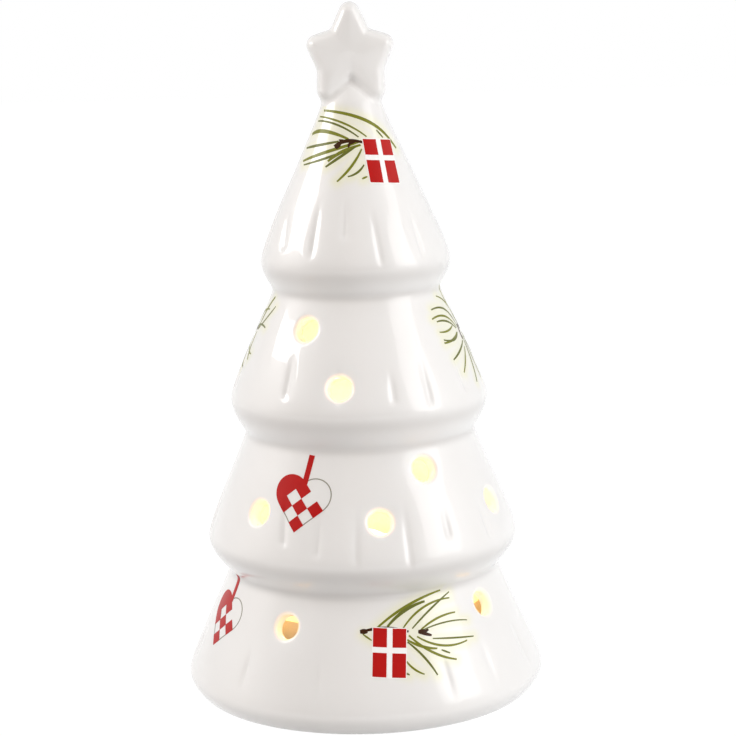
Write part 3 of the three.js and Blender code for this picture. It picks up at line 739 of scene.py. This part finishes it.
def star_distance(x, z):
    """Signed distance in the star's plane to the outline of its flat face."""
    x, z = np.broadcast_arrays(x, z)
    right = [(a, b + TIP_HEIGHT) for a, b in STAR_CORNERS]
    corners = right + [(-a, b) for a, b in right[-2:0:-1]]
    nearest, inner = np.full(x.shape, np.inf), np.zeros(x.shape, bool)
    for (ax, az), (bx, bz) in zip(corners, corners[1:] + corners[:1]):
        ex, ez, px, pz = bx - ax, bz - az, x - ax, z - az
        share = np.clip((px * ex + pz * ez) / (ex**2 + ez**2), 0, 1)
        nearest = np.minimum(nearest, np.hypot(px - share * ex, pz - share * ez))
        crosses = ((az > z) != (bz > z)) & (x < ex * (z - az) / (ez if ez else 1) + ax)
        inner ^= crosses
    return np.where(inner, -nearest, nearest)


def soft_union(a, b, reach):
    """The smaller of two distances, blended where they are alike."""
    mix = np.clip(0.5 + 0.5 * (b - a) / reach, 0, 1)
    return b + (a - b) * mix - reach * mix * (1 - mix)


def blurred(field, cells):
    """A field smoothed by a few cells each way."""
    reach = int(math.ceil(cells * 3))
    weights = np.exp(-0.5 * (np.arange(-reach, reach + 1) / cells) ** 2)
    weights /= weights.sum()
    for axis in range(3):
        padded = np.pad(field, [(reach, reach) if k == axis else (0, 0) for k in range(3)], "edge")
        cells_along = np.arange(field.shape[axis])
        field = sum(w * np.take(padded, cells_along + k, axis) for k, w in enumerate(weights))
    return field


def surface_net(field, low, step):
    """Points and quads of the surface where a sampled field is zero; inside it is negative."""
    shape = np.array(field.shape)
    total, hits = np.zeros((*(shape - 1), 3)), np.zeros(shape - 1)
    rings = []
    for axis in range(3):
        order = [axis] + [k for k in range(3) if k != axis]
        near = np.moveaxis(field, axis, 0)
        a, b = near[:-1], near[1:]
        found = np.argwhere((a < 0) != (b < 0))
        at = tuple(found.T)
        share = a[at] / (a[at] - b[at])
        cell, point = np.empty_like(found), np.empty(found.shape)
        cell[:, order] = found
        point[:, order] = found
        point[:, axis] += share
        ring = []
        for back in ((0, 0), (1, 0), (1, 1), (0, 1)):
            each = cell.copy()
            each[:, order[1]] -= back[0]
            each[:, order[2]] -= back[1]
            np.add.at(total, tuple(each.T), point)
            np.add.at(hits, tuple(each.T), 1)
            ring.append(each)
        rings.append((np.stack(ring, 1), (a[at] < 0) ^ (axis == 1)))
    number = np.full(shape - 1, -1)
    used = hits > 0
    number[used] = np.arange(used.sum())
    points = total[used] / hits[used][:, None] * step + low
    quads = []
    for ring, forward in rings:
        ids = number[tuple(np.moveaxis(ring, -1, 0))]
        quads += np.where(forward[:, None], ids, ids[:, ::-1]).tolist()
    return points, quads


def settle(points, field, low, step, rounds=3):
    """Moves points onto the zero of a sampled field, along its slope."""
    slopes = np.stack(np.gradient(field, step), -1)
    values = np.concatenate([field[..., None], slopes], -1)
    for _ in range(rounds):
        grid = (points - low) / step
        base = np.clip(np.floor(grid).astype(int), 0, np.array(field.shape) - 2)
        part = grid - base
        sample = 0
        for corner in np.ndindex(2, 2, 2):
            weight = np.prod(np.where(corner, part, 1 - part), 1)[:, None]
            sample = sample + weight * values[tuple((base + corner).T)]
        slope = sample[:, 1:]
        points = points - slope * (sample[:, :1] / (slope**2).sum(1, keepdims=True))
    return points


def star_mesh():
    """The star with the neck of the tree run up into it."""
    step, low = STAR_CELL, np.array(STAR_BOX_LOW)
    counts = (np.array(STAR_BOX_SIZE) / step).astype(int) + 1
    x, y, z = [low[k] + step * np.arange(counts[k]) for k in range(3)]
    flat = star_distance(x[:, None], z[None, :])
    crown = STAR_CROWN * np.exp(-np.clip(-flat, 0, 9) / STAR_CROWN_REACH)
    depth = np.abs(y[None, :, None] + STAR_FORWARD)
    face = depth - (STAR_HALF_THICKNESS - STAR_EDGE_ROUND) + crown[:, None, :]
    edge = flat[:, None, :]
    over_face = np.maximum(face, 0) * (STAR_EDGE_SPREAD / STAR_EDGE_ROUND)
    body = np.hypot(np.maximum(edge, 0), over_face) + np.minimum(np.maximum(edge, face), 0)
    rising = OUTER[RISING_FROM:]
    neck_radius = np.interp(z, rising[:, 1], rising[:, 0], right=-2.0)
    beside_neck = np.hypot(x[:, None], y[None, :])[:, :, None] - neck_radius[None, None, :]
    neck = beside_neck * NECK_SLOPE + NECK_SUNK
    field = soft_union(body - STAR_EDGE_SPREAD, neck, STAR_MELT)
    field = blurred(np.maximum(field, STAR_CUT_HEIGHT - z[None, None, :]), STAR_SOFTNESS / step)
    points, quads = surface_net(field, low, step)
    return settle(points, field, low, step), quads


# Printed ornaments: thin fired inks that follow the surface

PRINT_SUNK = 0.1


class Print:
    """Closed sheets of one ink, laid on the outside of the tree."""

    def __init__(self, name, material, proud):
        self.name, self.material, self.proud = name, material, proud
        self.points, self.faces, self.count = [], [], 0

    def sheet(self, centre, grid):
        """Lays a grid of points, in millimetres right and up from a centre (turn, height)."""
        rows, columns = grid.shape[:2]
        middle = row_at(centre[1])
        row = middle + grid[..., 1].ravel() / ROW
        turn = centre[0] + np.degrees(grid[..., 0].ravel() / at_row(OUTER, row)[0])
        top, bottom = outside(turn, row, self.proud), outside(turn, row, -PRINT_SUNK)
        n = rows * columns
        at = np.arange(n).reshape(rows, columns) + self.count
        quads = np.stack([at[:-1, :-1], at[:-1, 1:], at[1:, 1:], at[1:, :-1]], -1).reshape(-1, 4)
        rim = np.concatenate([at[0, :-1], at[:-1, -1], at[-1, :0:-1], at[:0:-1, 0]])
        after = np.roll(rim, -1)
        sides = np.stack([rim + n, after + n, after, rim], 1)
        self.points += [top, bottom]
        self.faces += quads.tolist() + (quads[:, ::-1] + n).tolist() + sides.tolist()
        self.count += 2 * n

    def build(self):
        """Makes the piece, with the thin rim of the ink kept crisp."""
        points = np.vstack(self.points)
        piece = new_piece(self.name, points, self.faces, [self.material], "tree")
        piece.data.set_sharp_from_angle(angle=math.radians(40))


def quad_grid(corners, step=0.4):
    """A grid over the quad with corners lower left, lower right, upper right, upper left."""
    a, b, c, d = [np.array(p, float) for p in corners]
    across = max(int(np.hypot(*(b - a)) / step), 1) + 1
    up = max(int(np.hypot(*(d - a)) / step), 1) + 1
    u, v = np.meshgrid(np.linspace(0, 1, across), np.linspace(0, 1, up))
    u, v = u[..., None], v[..., None]
    return (a * (1 - u) + b * u) * (1 - v) + (d * (1 - u) + c * u) * v


def ribbon_grid(start, via, end, width, steps=18, taper=0.6):
    """A ribbon along a curve through three points, widest at its middle."""
    t = np.linspace(0, 1, steps + 1)[:, None]
    start, via, end = [np.array(p, float) for p in (start, via, end)]
    pull = 2 * via - (start + end) / 2
    line = (1 - t) ** 2 * start + 2 * (1 - t) * t * pull + t**2 * end
    way = np.gradient(line, axis=0)
    way /= np.hypot(*way.T)[:, None]
    side = way[:, ::-1] * (-1, 1)
    half = width / 2 * (taper + (1 - taper) * np.sin(math.pi * np.clip(t, 0.02, 0.98)))
    return np.stack([line - side * half, line, line + side * half], 1)[:, ::-1].transpose(1, 0, 2)


def turned_grid(grid, degrees):
    """A grid turned about its origin."""
    c, s = math.cos(math.radians(degrees)), math.sin(math.radians(degrees))
    return grid @ np.array([[c, s], [-s, c]])


# Flag: four red fields round a white cross
FLAG_FIELD = 3.3
FLAG_BAR = 1.35
FLAG_LOW_FIELD = 5.7
FLAG_MARGIN = 0.2


def lay_flag(inks, centre, tilt, top_field):
    """A small hanging flag with its cross centred on a place; its upper fields differ in height."""
    half_bar = FLAG_BAR / 2
    out = half_bar + FLAG_FIELD + FLAG_MARGIN
    up, down = half_bar + top_field + FLAG_MARGIN, half_bar + FLAG_LOW_FIELD + FLAG_MARGIN
    ground = quad_grid([(-out, -down), (out, -down), (out, up), (-out, up)])
    inks["white"].sheet(centre, turned_grid(ground, tilt))
    heights = ((half_bar, half_bar + top_field), (-half_bar - FLAG_LOW_FIELD, -half_bar))
    for x in (-half_bar - FLAG_FIELD, half_bar):
        for low, high in heights:
            field = quad_grid([(x, low), (x + FLAG_FIELD, low), (x + FLAG_FIELD, high), (x, high)])
            inks["red"].sheet(centre, turned_grid(field, tilt))


# Woven heart: three by three checks set on a corner, with a round lobe on each upper side
CHECK = 2.9
HEART_LINE = 0.27
STRAP_WIDTH = 1.4
STRAP_LENGTH = 6.5


def lobe_grid(radius, inner=0.0):
    """Half a disc, or half a ring, that bulges upward from a flat side on the x axis."""
    u, v = np.meshgrid(np.linspace(math.pi, 0, 25), np.linspace(0, 1, 9))
    reach = inner + (radius - inner) * v
    return np.stack([reach * np.cos(u), reach * np.sin(u)], -1)


def lay_heart(inks, centre, tilt, strap_tilt):
    """A woven paper heart that hangs from a strap; the centre is the notch between its lobes."""
    span = 3 * CHECK

    def place(grid, turn, shift):
        return turned_grid(turned_grid(grid, turn) + shift, tilt)

    down_right = np.array([1, -1]) / math.sqrt(2)
    down_left = np.array([-1, -1]) / math.sqrt(2)
    square = CHECK * np.array([(0, 0), down_right, down_right + down_left, down_left])
    for i in range(3):
        for j in range(3):
            if (i + j) % 2 == 0:
                corner = (down_right * i + down_left * j) * CHECK
                check = quad_grid((square + corner)[[2, 1, 0, 3]])
                inks["red"].sheet(centre, turned_grid(check, tilt))
    inks["red"].sheet(centre, place(lobe_grid(span / 2), 45, down_left * span / 2))
    ring = lobe_grid(span / 2, span / 2 - HEART_LINE)
    inks["grey"].sheet(centre, place(ring, -45, down_right * span / 2))
    edges = ((down_right, down_left, (0, 3, 2, 1)), (down_left, down_right, (0, 1, 2, 3)))
    for outer, other, order in edges:
        start = (outer * 3 + other) * CHECK
        end = start + other * CHECK
        line = [start, end, end - outer * HEART_LINE, start - outer * HEART_LINE]
        inks["grey"].sheet(centre, turned_grid(quad_grid([line[k] for k in order]), tilt))
    half = STRAP_WIDTH / 2
    strap = quad_grid([(-half, -0.5), (half, -0.5), (half, STRAP_LENGTH), (-half, STRAP_LENGTH)])
    inks["red"].sheet(centre, turned_grid(strap, strap_tilt))


# Pine sprigs. Each needle is its foot (right, up), way in degrees, length, bend and width

# Fans out to the right of the low flag, whose cross is the origin
LOW_NEEDLES = (
    (-3.5, 4.5, 24, 19.5, 1.5, 0.6),
    (0, 5.5, 27, 11, 1, 0.75),
    (3.5, 4.5, 23, 14.5, 2, 0.5),
    (6, 4.5, 33, 13, 0.5, 0.45),
    (7.5, 3.5, 16, 11, 1, 0.5),
    (7.5, 3.5, 2, 14, 1, 0.35),
    (7, 2.5, -13, 14, -1.5, 0.5),
    (11, 1.5, -8, 12, 0, 0.4),
    (4.5, 2, -22, 8, -0.5, 0.6),
    (13, -1.5, -27, 2.5, 0, 0.4),
    (5, 3, -32, 14, -1, 0.55),
    (4.5, 1.5, -52, 11, 0.5, 0.5),
    (3.5, -2.5, -42, 6, -0.5, 0.45),
    (3, -5.5, -30, 1.5, 0, 0.4),
    (-6, 4, -38, 2.5, 0, 0.4),
)
LOW_TWIGS = (
    (-6.5, 4.5, -3, 11.5, 1, 0.7),
    (-6.6, 4.6, 2, 1.8, 0, 1.1),
    (7.5, 3.5, -20, 3.5, 0, 0.7),
    (7.4, 3.6, -8, 2.2, 0, 1.1),
    (8.8, 3.3, 20, 1.4, 0, 0.6),
)

# Fans out to the left of the high flag
HIGH_NEEDLES = (
    (6, 2, 151, 21, -3, 0.8),
    (2, 5, 124, 2.5, 0, 0.4),
    (-2.5, 5.5, 157, 13, -1.5, 0.5),
    (-4.5, 5.5, 160, 11.5, -1.5, 0.5),
    (-7, 5, 175, 11.5, -1.5, 0.9),
    (-9.5, 4.5, 190, 12, 0, 0.6),
    (-4, 4.5, 196, 19.5, 0, 0.7),
    (-5, 3.5, 197, 18, 0.5, 0.5),
    (-4.5, 3.5, 204, 10, -0.5, 0.7),
    (-6, 3, 210, 10, 0, 0.55),
    (-4.5, 2.5, 225, 11.5, 0.5, 0.5),
    (-5, -1.5, 212, 5.5, 0.5, 0.45),
    (-5, -4.5, 201, 1.5, 0, 0.4),
)
HIGH_TWIGS = (
    (-3.5, 4, 186, 7.5, -1, 0.8),
    (-5.2, 4.7, 205, 2.2, 0, 0.6),
    (-7.6, 4.6, 172, 1.8, 0, 0.5),
    (-9.3, 3.9, 218, 1.9, 0, 0.8),
    (-6.8, 4.3, 238, 1.6, 0, 0.5),
)

# Fans out both ways round its own stem, with the knot of the stem as the origin
SIDE_NEEDLES = (
    (2.5, 2.5, 136, 11, -1.5, 0.4),
    (0.5, 1, 150, 12.5, -2.5, 0.5),
    (-1, 1, 160, 11.5, -2, 0.5),
    (-2, 1, 160, 9, -1, 0.5),
    (-4, 2, 184, 7.5, 0.5, 0.45),
    (-2.5, 0, 184, 9, 1, 0.55),
    (-3, 0, 189, 9, 0.5, 0.55),
    (-1, -2.5, 198, 11, 0, 0.5),
    (-2, -4, 216, 9.5, 0, 0.45),
    (1, -1.5, 242, 13, 0.5, 0.5),
    (3, 3, 112, 10, 1, 0.4),
    (2, -3, 262, 10, -0.5, 0.45),
    (3, 1, 40, 10, 2, 0.5),
    (3, 0, 15, 11, 1.5, 0.5),
    (3, -1, -20, 10, -1, 0.5),
    (2.5, -2, -50, 9, -0.5, 0.45),
    (8, 1.7, 72, 9.5, 1, 0.75),
    (8, 1.5, 52, 9, -0.5, 0.5),
    (8, 1, -62, 8, -1, 0.6),
)
SIDE_TWIGS = ((1, 1.5, 250, 4, 0, 0.9), (1, 0.5, 10, 7, 0.5, 0.7))
NEEDLE_WEIGHT = 1.12


def lay_sprig(inks, centre, needles, twigs):
    """A sprig of pine: brown twigs, and olive needles that fan out of them."""
    for strokes, colours in ((needles, ("olive", "moss")), (twigs, ("brown", "brown"))):
        for number, (x, y, way, length, bend, width) in enumerate(strokes):
            c, s, start = math.cos(math.radians(way)), math.sin(math.radians(way)), np.array([x, y])
            end = start + length * np.array([c, s])
            via = (start + end) / 2 + bend * np.array([-s, c])
            stroke = ribbon_grid(start, via, end, width * NEEDLE_WEIGHT)
            inks[colours[number % 2]].sheet(centre, stroke)


def ink(name, code, mottle_size):
    """Ceramic ink fired under a clear glaze: flat colour, as glossy as the white beside it, a
    little uneven where the pigment lies thinner."""
    material, tree = new_material(name)
    deep = linear(code)
    thin = tuple(min(1.0, c * 1.25) for c in deep[:3]) + (1.0,)
    sockets = {
        "Base Color": mottled(tree, (deep, thin), mottle_size)[0],
        "Roughness": 0.45,
        "Specular IOR Level": 0.15,
        "Coat Weight": 0.35,
        "Coat Roughness": 0.03,
        "Coat IOR": 1.5,
    }
    close(tree, add(tree, "ShaderNodeBsdfPrincipled", sockets).outputs["BSDF"])
    return material


# Colour and piece of each ink, its hex value, the size of its mottles and how proud it lies
INKS = (
    ("olive", "print_olive_needles", "#747722", 1.5, 0.03),
    ("moss", "print_moss_needles", "#62672A", 1.5, 0.032),
    ("brown", "print_brown_twigs", "#3A1F0A", 1.0, 0.036),
    ("white", "print_white_grounds", "#F6F4F1", 2.0, 0.042),
    ("red", "print_red_fields", "#AE0F0B", 2.5, 0.075),
    ("grey", "print_grey_lines", "#8F8A7E", 1.5, 0.04),
)


def lay_prints():
    """Every ornament, on the front and again round the back. Returns the needles' points."""
    inks = {
        colour: Print(name, ink(f"fired_{colour}_ink", code, mottle_size), proud)
        for colour, name, code, mottle_size, proud in INKS
    }
    for half in (0, 180):
        lay_flag(inks, (8.4 + half, 19.4), -6, 4.5)
        lay_flag(inks, (32.3 + half, 133.0), -5, 4.0)
        lay_heart(inks, (-25.2 + half, 58.3), -5, -8)
        lay_heart(inks, (-65.8 + half, 26.0), -4, -3)
        lay_sprig(inks, (8.4 + half, 19.5), LOW_NEEDLES, LOW_TWIGS)
        lay_sprig(inks, (32.7 + half, 133.0), HIGH_NEEDLES, HIGH_TWIGS)
        lay_sprig(inks, (79.9 + half, 89.8), SIDE_NEEDLES, SIDE_TWIGS)
    for each in inks.values():
        each.build()
    return np.vstack(inks["olive"].points + inks["moss"].points)


# Soft colour on the shell, kept with its points: the yellow wash, painted grey shade in the
# creases and under the edges, and the painted warm glow of the rims
# Strength and width of the painted grey shade in each crease and under the edge above it
PAINTED_SHADE_IN_CREASE = 0.34
PAINTED_SHADE_CREASE_WIDTH = 1.0
PAINTED_SHADE_UNDER_EDGE = 0.3
PAINTED_SHADE_EDGE_WIDTH = 2.0
PAINTED_SHADE_EDGE_SHARE = 0.75
WASH_REACH = 1.5
WASH_LEVEL = 0.55
# Reach, strength and depth of the painted warm glow round the holes
PAINTED_GLOW_FROM = 2.9
PAINTED_GLOW_TO = 4.3
PAINTED_GLOW_STRENGTH = 0.5
PAINTED_GLOW_DEPTH = 8


def keep_level(piece, name, values):
    """Stores a number between 0 and 1 for each point of a piece."""
    level = piece.data.attributes.new(name, "FLOAT", "POINT")
    level.data.foreach_set("value", np.ascontiguousarray(values, dtype=np.float32))


def wash_levels(points, needles):
    """How strongly each point of the shell is washed with yellow, by the needles near it."""
    lookup = KDTree(len(needles))
    for number, needle in enumerate(needles):
        lookup.insert(needle, number)
    lookup.balance()
    reach = np.array([lookup.find(p)[2] for p in points])
    return WASH_LEVEL * np.exp(-((reach / WASH_REACH) ** 2))


def painted_shade_levels(points):
    """How much painted grey shade each point of the shell gets, by its height over a crease."""
    level = np.zeros(len(points))
    for (_, _, _, crease), (_, edge, _, _) in zip(TIERS, TIERS[1:]):
        under = crease + PAINTED_SHADE_EDGE_SHARE * (edge - crease)
        # Painted grey shade: a narrow band in the crease and a broad one under the edge above
        level += PAINTED_SHADE_IN_CREASE * np.exp(-(((points[:, 2] - crease) / PAINTED_SHADE_CREASE_WIDTH) ** 2))
        level += PAINTED_SHADE_UNDER_EDGE * np.exp(-(((points[:, 2] - under) / PAINTED_SHADE_EDGE_WIDTH) ** 2))
    return level


def painted_glow_levels(points):
    """How much painted warm glow each point of the shell gets, by the holes near it."""
    level = np.zeros(len(points))
    for turn, height in HOLES:
        axis = drill_axis(turn, height)
        off = points - outside(turn, row_at(height))
        deep = off @ axis
        away = np.linalg.norm(off - deep[:, None] * axis, axis=1)
        near = ease((PAINTED_GLOW_TO - away) / (PAINTED_GLOW_TO - PAINTED_GLOW_FROM)) ** 2
        level = np.maximum(level, np.where(np.abs(deep) < PAINTED_GLOW_DEPTH, near, 0))
    return level


# Floor, lights and camera

# Strengths of the floor, the room and the lamp inside, and places in metres
FLOOR_GLOW = 1.09
FLOOR_GLOW_SHARE = 0.9
FLOOR_HALF = 3.0
AMBIENT = 0.46
ROOM_FRONT = 0.05
ROOM_BACK = 0.9
LAMP_TARGET = 0.085
INNER_WATTS = 0.078
INNER_LIFT = 0.02


def pale_floor():
    """A white table that shows as plain white, and keeps a soft shadow under the object."""
    material, tree = new_material("white_table")
    light_path = add(tree, "ShaderNodeLightPath").outputs
    paint = add(tree, "ShaderNodeBsdfDiffuse", {"Color": linear("#C8C8C8")})
    glow = add(tree, "ShaderNodeEmission", {"Color": (1, 1, 1, 1), "Strength": FLOOR_GLOW})
    seen = light_path["Is Camera Ray"]
    for other in ("Is Glossy Ray", "Is Transmission Ray"):
        either = {0: seen, 1: light_path[other]}
        seen = add(tree, "ShaderNodeMath", either, operation="MAXIMUM").outputs["Value"]
    share = add(tree, "ShaderNodeMath", {0: seen, 1: FLOOR_GLOW_SHARE}, operation="MULTIPLY")
    mixed = {0: share.outputs["Value"], 1: paint.outputs["BSDF"], 2: glow.outputs["Emission"]}
    top = add(tree, "ShaderNodeMixShader", mixed)
    under = add(tree, "ShaderNodeBsdfTransparent")
    facing = add(tree, "ShaderNodeNewGeometry").outputs["Backfacing"]
    sides = {0: facing, 1: top.outputs["Shader"], 2: under.outputs["BSDF"]}
    close(tree, add(tree, "ShaderNodeMixShader", sides).outputs["Shader"])
    return material


def add_floor():
    """The table top, far wider than the view."""
    half = FLOOR_HALF
    mesh = bpy.data.meshes.new("floor")
    corners = [(-half, -half, 0), (half, -half, 0), (half, half, 0), (-half, half, 0)]
    mesh.from_pydata(corners, [], [(0, 1, 2, 3)])
    mesh.materials.append(pale_floor())
    floor = put_in("floor", mesh)


def add_world():
    """A white room: plain white behind the object, softer as light, and dim in front, where the
    photographer stands, so that the glaze mirrors white at its sides only."""
    world = bpy.data.worlds.new("white_room")
    bpy.context.scene.world = world
    world.use_nodes = True
    tree = world.node_tree
    tree.nodes.clear()
    light_path = add(tree, "ShaderNodeLightPath").outputs
    where = add(tree, "ShaderNodeTexCoord").outputs["Generated"]
    depth = add(tree, "ShaderNodeSeparateXYZ", {"Vector": where}).outputs["Y"]
    room = {"Value": depth, "From Min": -0.95, "From Max": 0.1}
    room.update({"To Min": ROOM_FRONT, "To Max": ROOM_BACK})
    mirrored = add(tree, "ShaderNodeMapRange", room, interpolation_type="SMOOTHSTEP")
    lit = {"Factor": light_path["Is Glossy Ray"], "A": AMBIENT, "B": mirrored.outputs["Result"]}
    glossy = add(tree, "ShaderNodeMix", lit)
    either = {0: light_path["Is Camera Ray"], 1: light_path["Is Transmission Ray"]}
    seen = add(tree, "ShaderNodeMath", either, operation="MAXIMUM")
    shown = {"Factor": seen.outputs["Value"], "A": glossy.outputs["Result"], "B": 1.0}
    strength = add(tree, "ShaderNodeMix", shown).outputs["Result"]
    back = add(tree, "ShaderNodeBackground", {"Color": (1, 1, 1, 1), "Strength": strength})
    add(tree, "ShaderNodeOutputWorld", {"Surface": back.outputs["Background"]})


def softbox(name, turn, rise, width, height, radiance, colour, roll=0.0, mirrored=False, away=0.9):
    """A flat lamp that faces the tree from a turn and rise in degrees, as bright as radiance.
    A mirrored one shows only as a sharp reflection in the glaze, the others only as soft light."""
    target = Vector((0, 0, LAMP_TARGET))
    a, e = math.radians(turn), math.radians(rise)
    way = Vector((math.sin(a) * math.cos(e), -math.cos(a) * math.cos(e), math.sin(e)))
    lamp = bpy.data.lights.new(name, "AREA")
    lamp.shape = "RECTANGLE"
    lamp.size, lamp.size_y = width, height
    lamp.energy = radiance * 4 * width * height
    lamp.color = colour
    holder = put_in(name, lamp)
    holder.rotation_mode = "QUATERNION"
    holder.location = target + way * away
    spin = Matrix.Rotation(math.radians(roll), 3, "Z").to_quaternion()
    holder.rotation_quaternion = way.to_track_quat("Z", "Y") @ spin
    holder.visible_camera = False
    holder.visible_glossy = mirrored
    holder.visible_diffuse = not mirrored


def add_lamps():
    """Large soft lamps at the sides and in front, and the windows that the glaze mirrors."""
    softbox("fill_right", 70, 12, 0.5, 0.45, 5.0, (0.98, 0.99, 1.0))
    softbox("fill_left_high", -70, 45, 0.5, 0.45, 2.6, (1.0, 0.99, 0.98))
    softbox("fill_left_low", -90, 12, 0.5, 0.45, 2.0, (1.0, 0.93, 0.88))
    softbox("fill_front", 0, 32, 0.5, 0.45, 1.25, (1.0, 0.82, 0.68))
    white = (1.0, 1.0, 1.0)
    softbox("mirrored_right", 63, 21.5, 0.45, 0.57, 1.25, white, mirrored=True)
    softbox("mirrored_left", -89, 32, 0.2, 0.09, 4.0, white, 14, mirrored=True, away=0.35)


def add_inner_glow():
    """Light that the diffuser throws up into the tree."""
    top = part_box("light_dome")[1]
    lamp = bpy.data.lights.new("inner_glow", "POINT")
    lamp.shadow_soft_size = 4 * MM
    lamp.energy = INNER_WATTS
    lamp.color = GLOW_COLOUR
    holder = put_in("inner_glow", lamp)
    holder.location = (0, 0, top.z + INNER_LIFT)
    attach(holder, "light_unit")


def add_camera():
    """The photograph's camera."""
    pitch, yaw, roll = CAMERA_PITCH, CAMERA_YAW, CAMERA_ROLL
    level = math.cos(pitch)
    forward = Vector((math.sin(yaw) * level, math.cos(yaw) * level, -math.sin(pitch)))
    level_right = Vector((math.cos(yaw), -math.sin(yaw), 0))
    level_up = level_right.cross(forward)
    right = level_right * math.cos(roll) + level_up * math.sin(roll)
    up = level_up * math.cos(roll) - level_right * math.sin(roll)
    lens = bpy.data.cameras.new("camera")
    lens.lens = CAMERA_LENS
    lens.sensor_width = CAMERA_SENSOR
    lens.clip_start, lens.clip_end = 0.01, 20
    camera = put_in("camera", lens)
    turn = Matrix((right, up, -forward)).transposed()
    camera.matrix_world = Matrix.Translation(CAMERA_PLACE) @ turn.to_4x4()
    bpy.context.scene.camera = camera


# The scene

bpy.context.scene.view_settings.view_transform = "Standard"
add_camera()
add_world()
add_lamps()
add_floor()
add_inner_glow()

GLAZE = glazed_earthenware()
CLAY = biscuit_clay()

shell_points, glazed_faces, clay_faces = shell_mesh()
shell_faces = glazed_faces + clay_faces
tree = new_piece("glazed_tree", shell_points, shell_faces, [GLAZE, CLAY], "tree")
face_materials = [0] * len(glazed_faces) + [1] * len(clay_faces)
tree.data.polygons.foreach_set("material_index", face_materials)
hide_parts("tree_shell")
keep_level(tree, "wash", wash_levels(shell_points, lay_prints()))
# Painted grey shade in the creases and under the tiers' edges
keep_level(tree, "painted_crease_shade", painted_shade_levels(shell_points))
# Painted warm glow at the rims of the holes
keep_level(tree, "painted_rim_glow", painted_glow_levels(shell_points))

star_points, star_quads = star_mesh()
star = new_piece("glazed_star", star_points, star_quads, [GLAZE], "tree")
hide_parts("star_topper")

finish_light_unit()
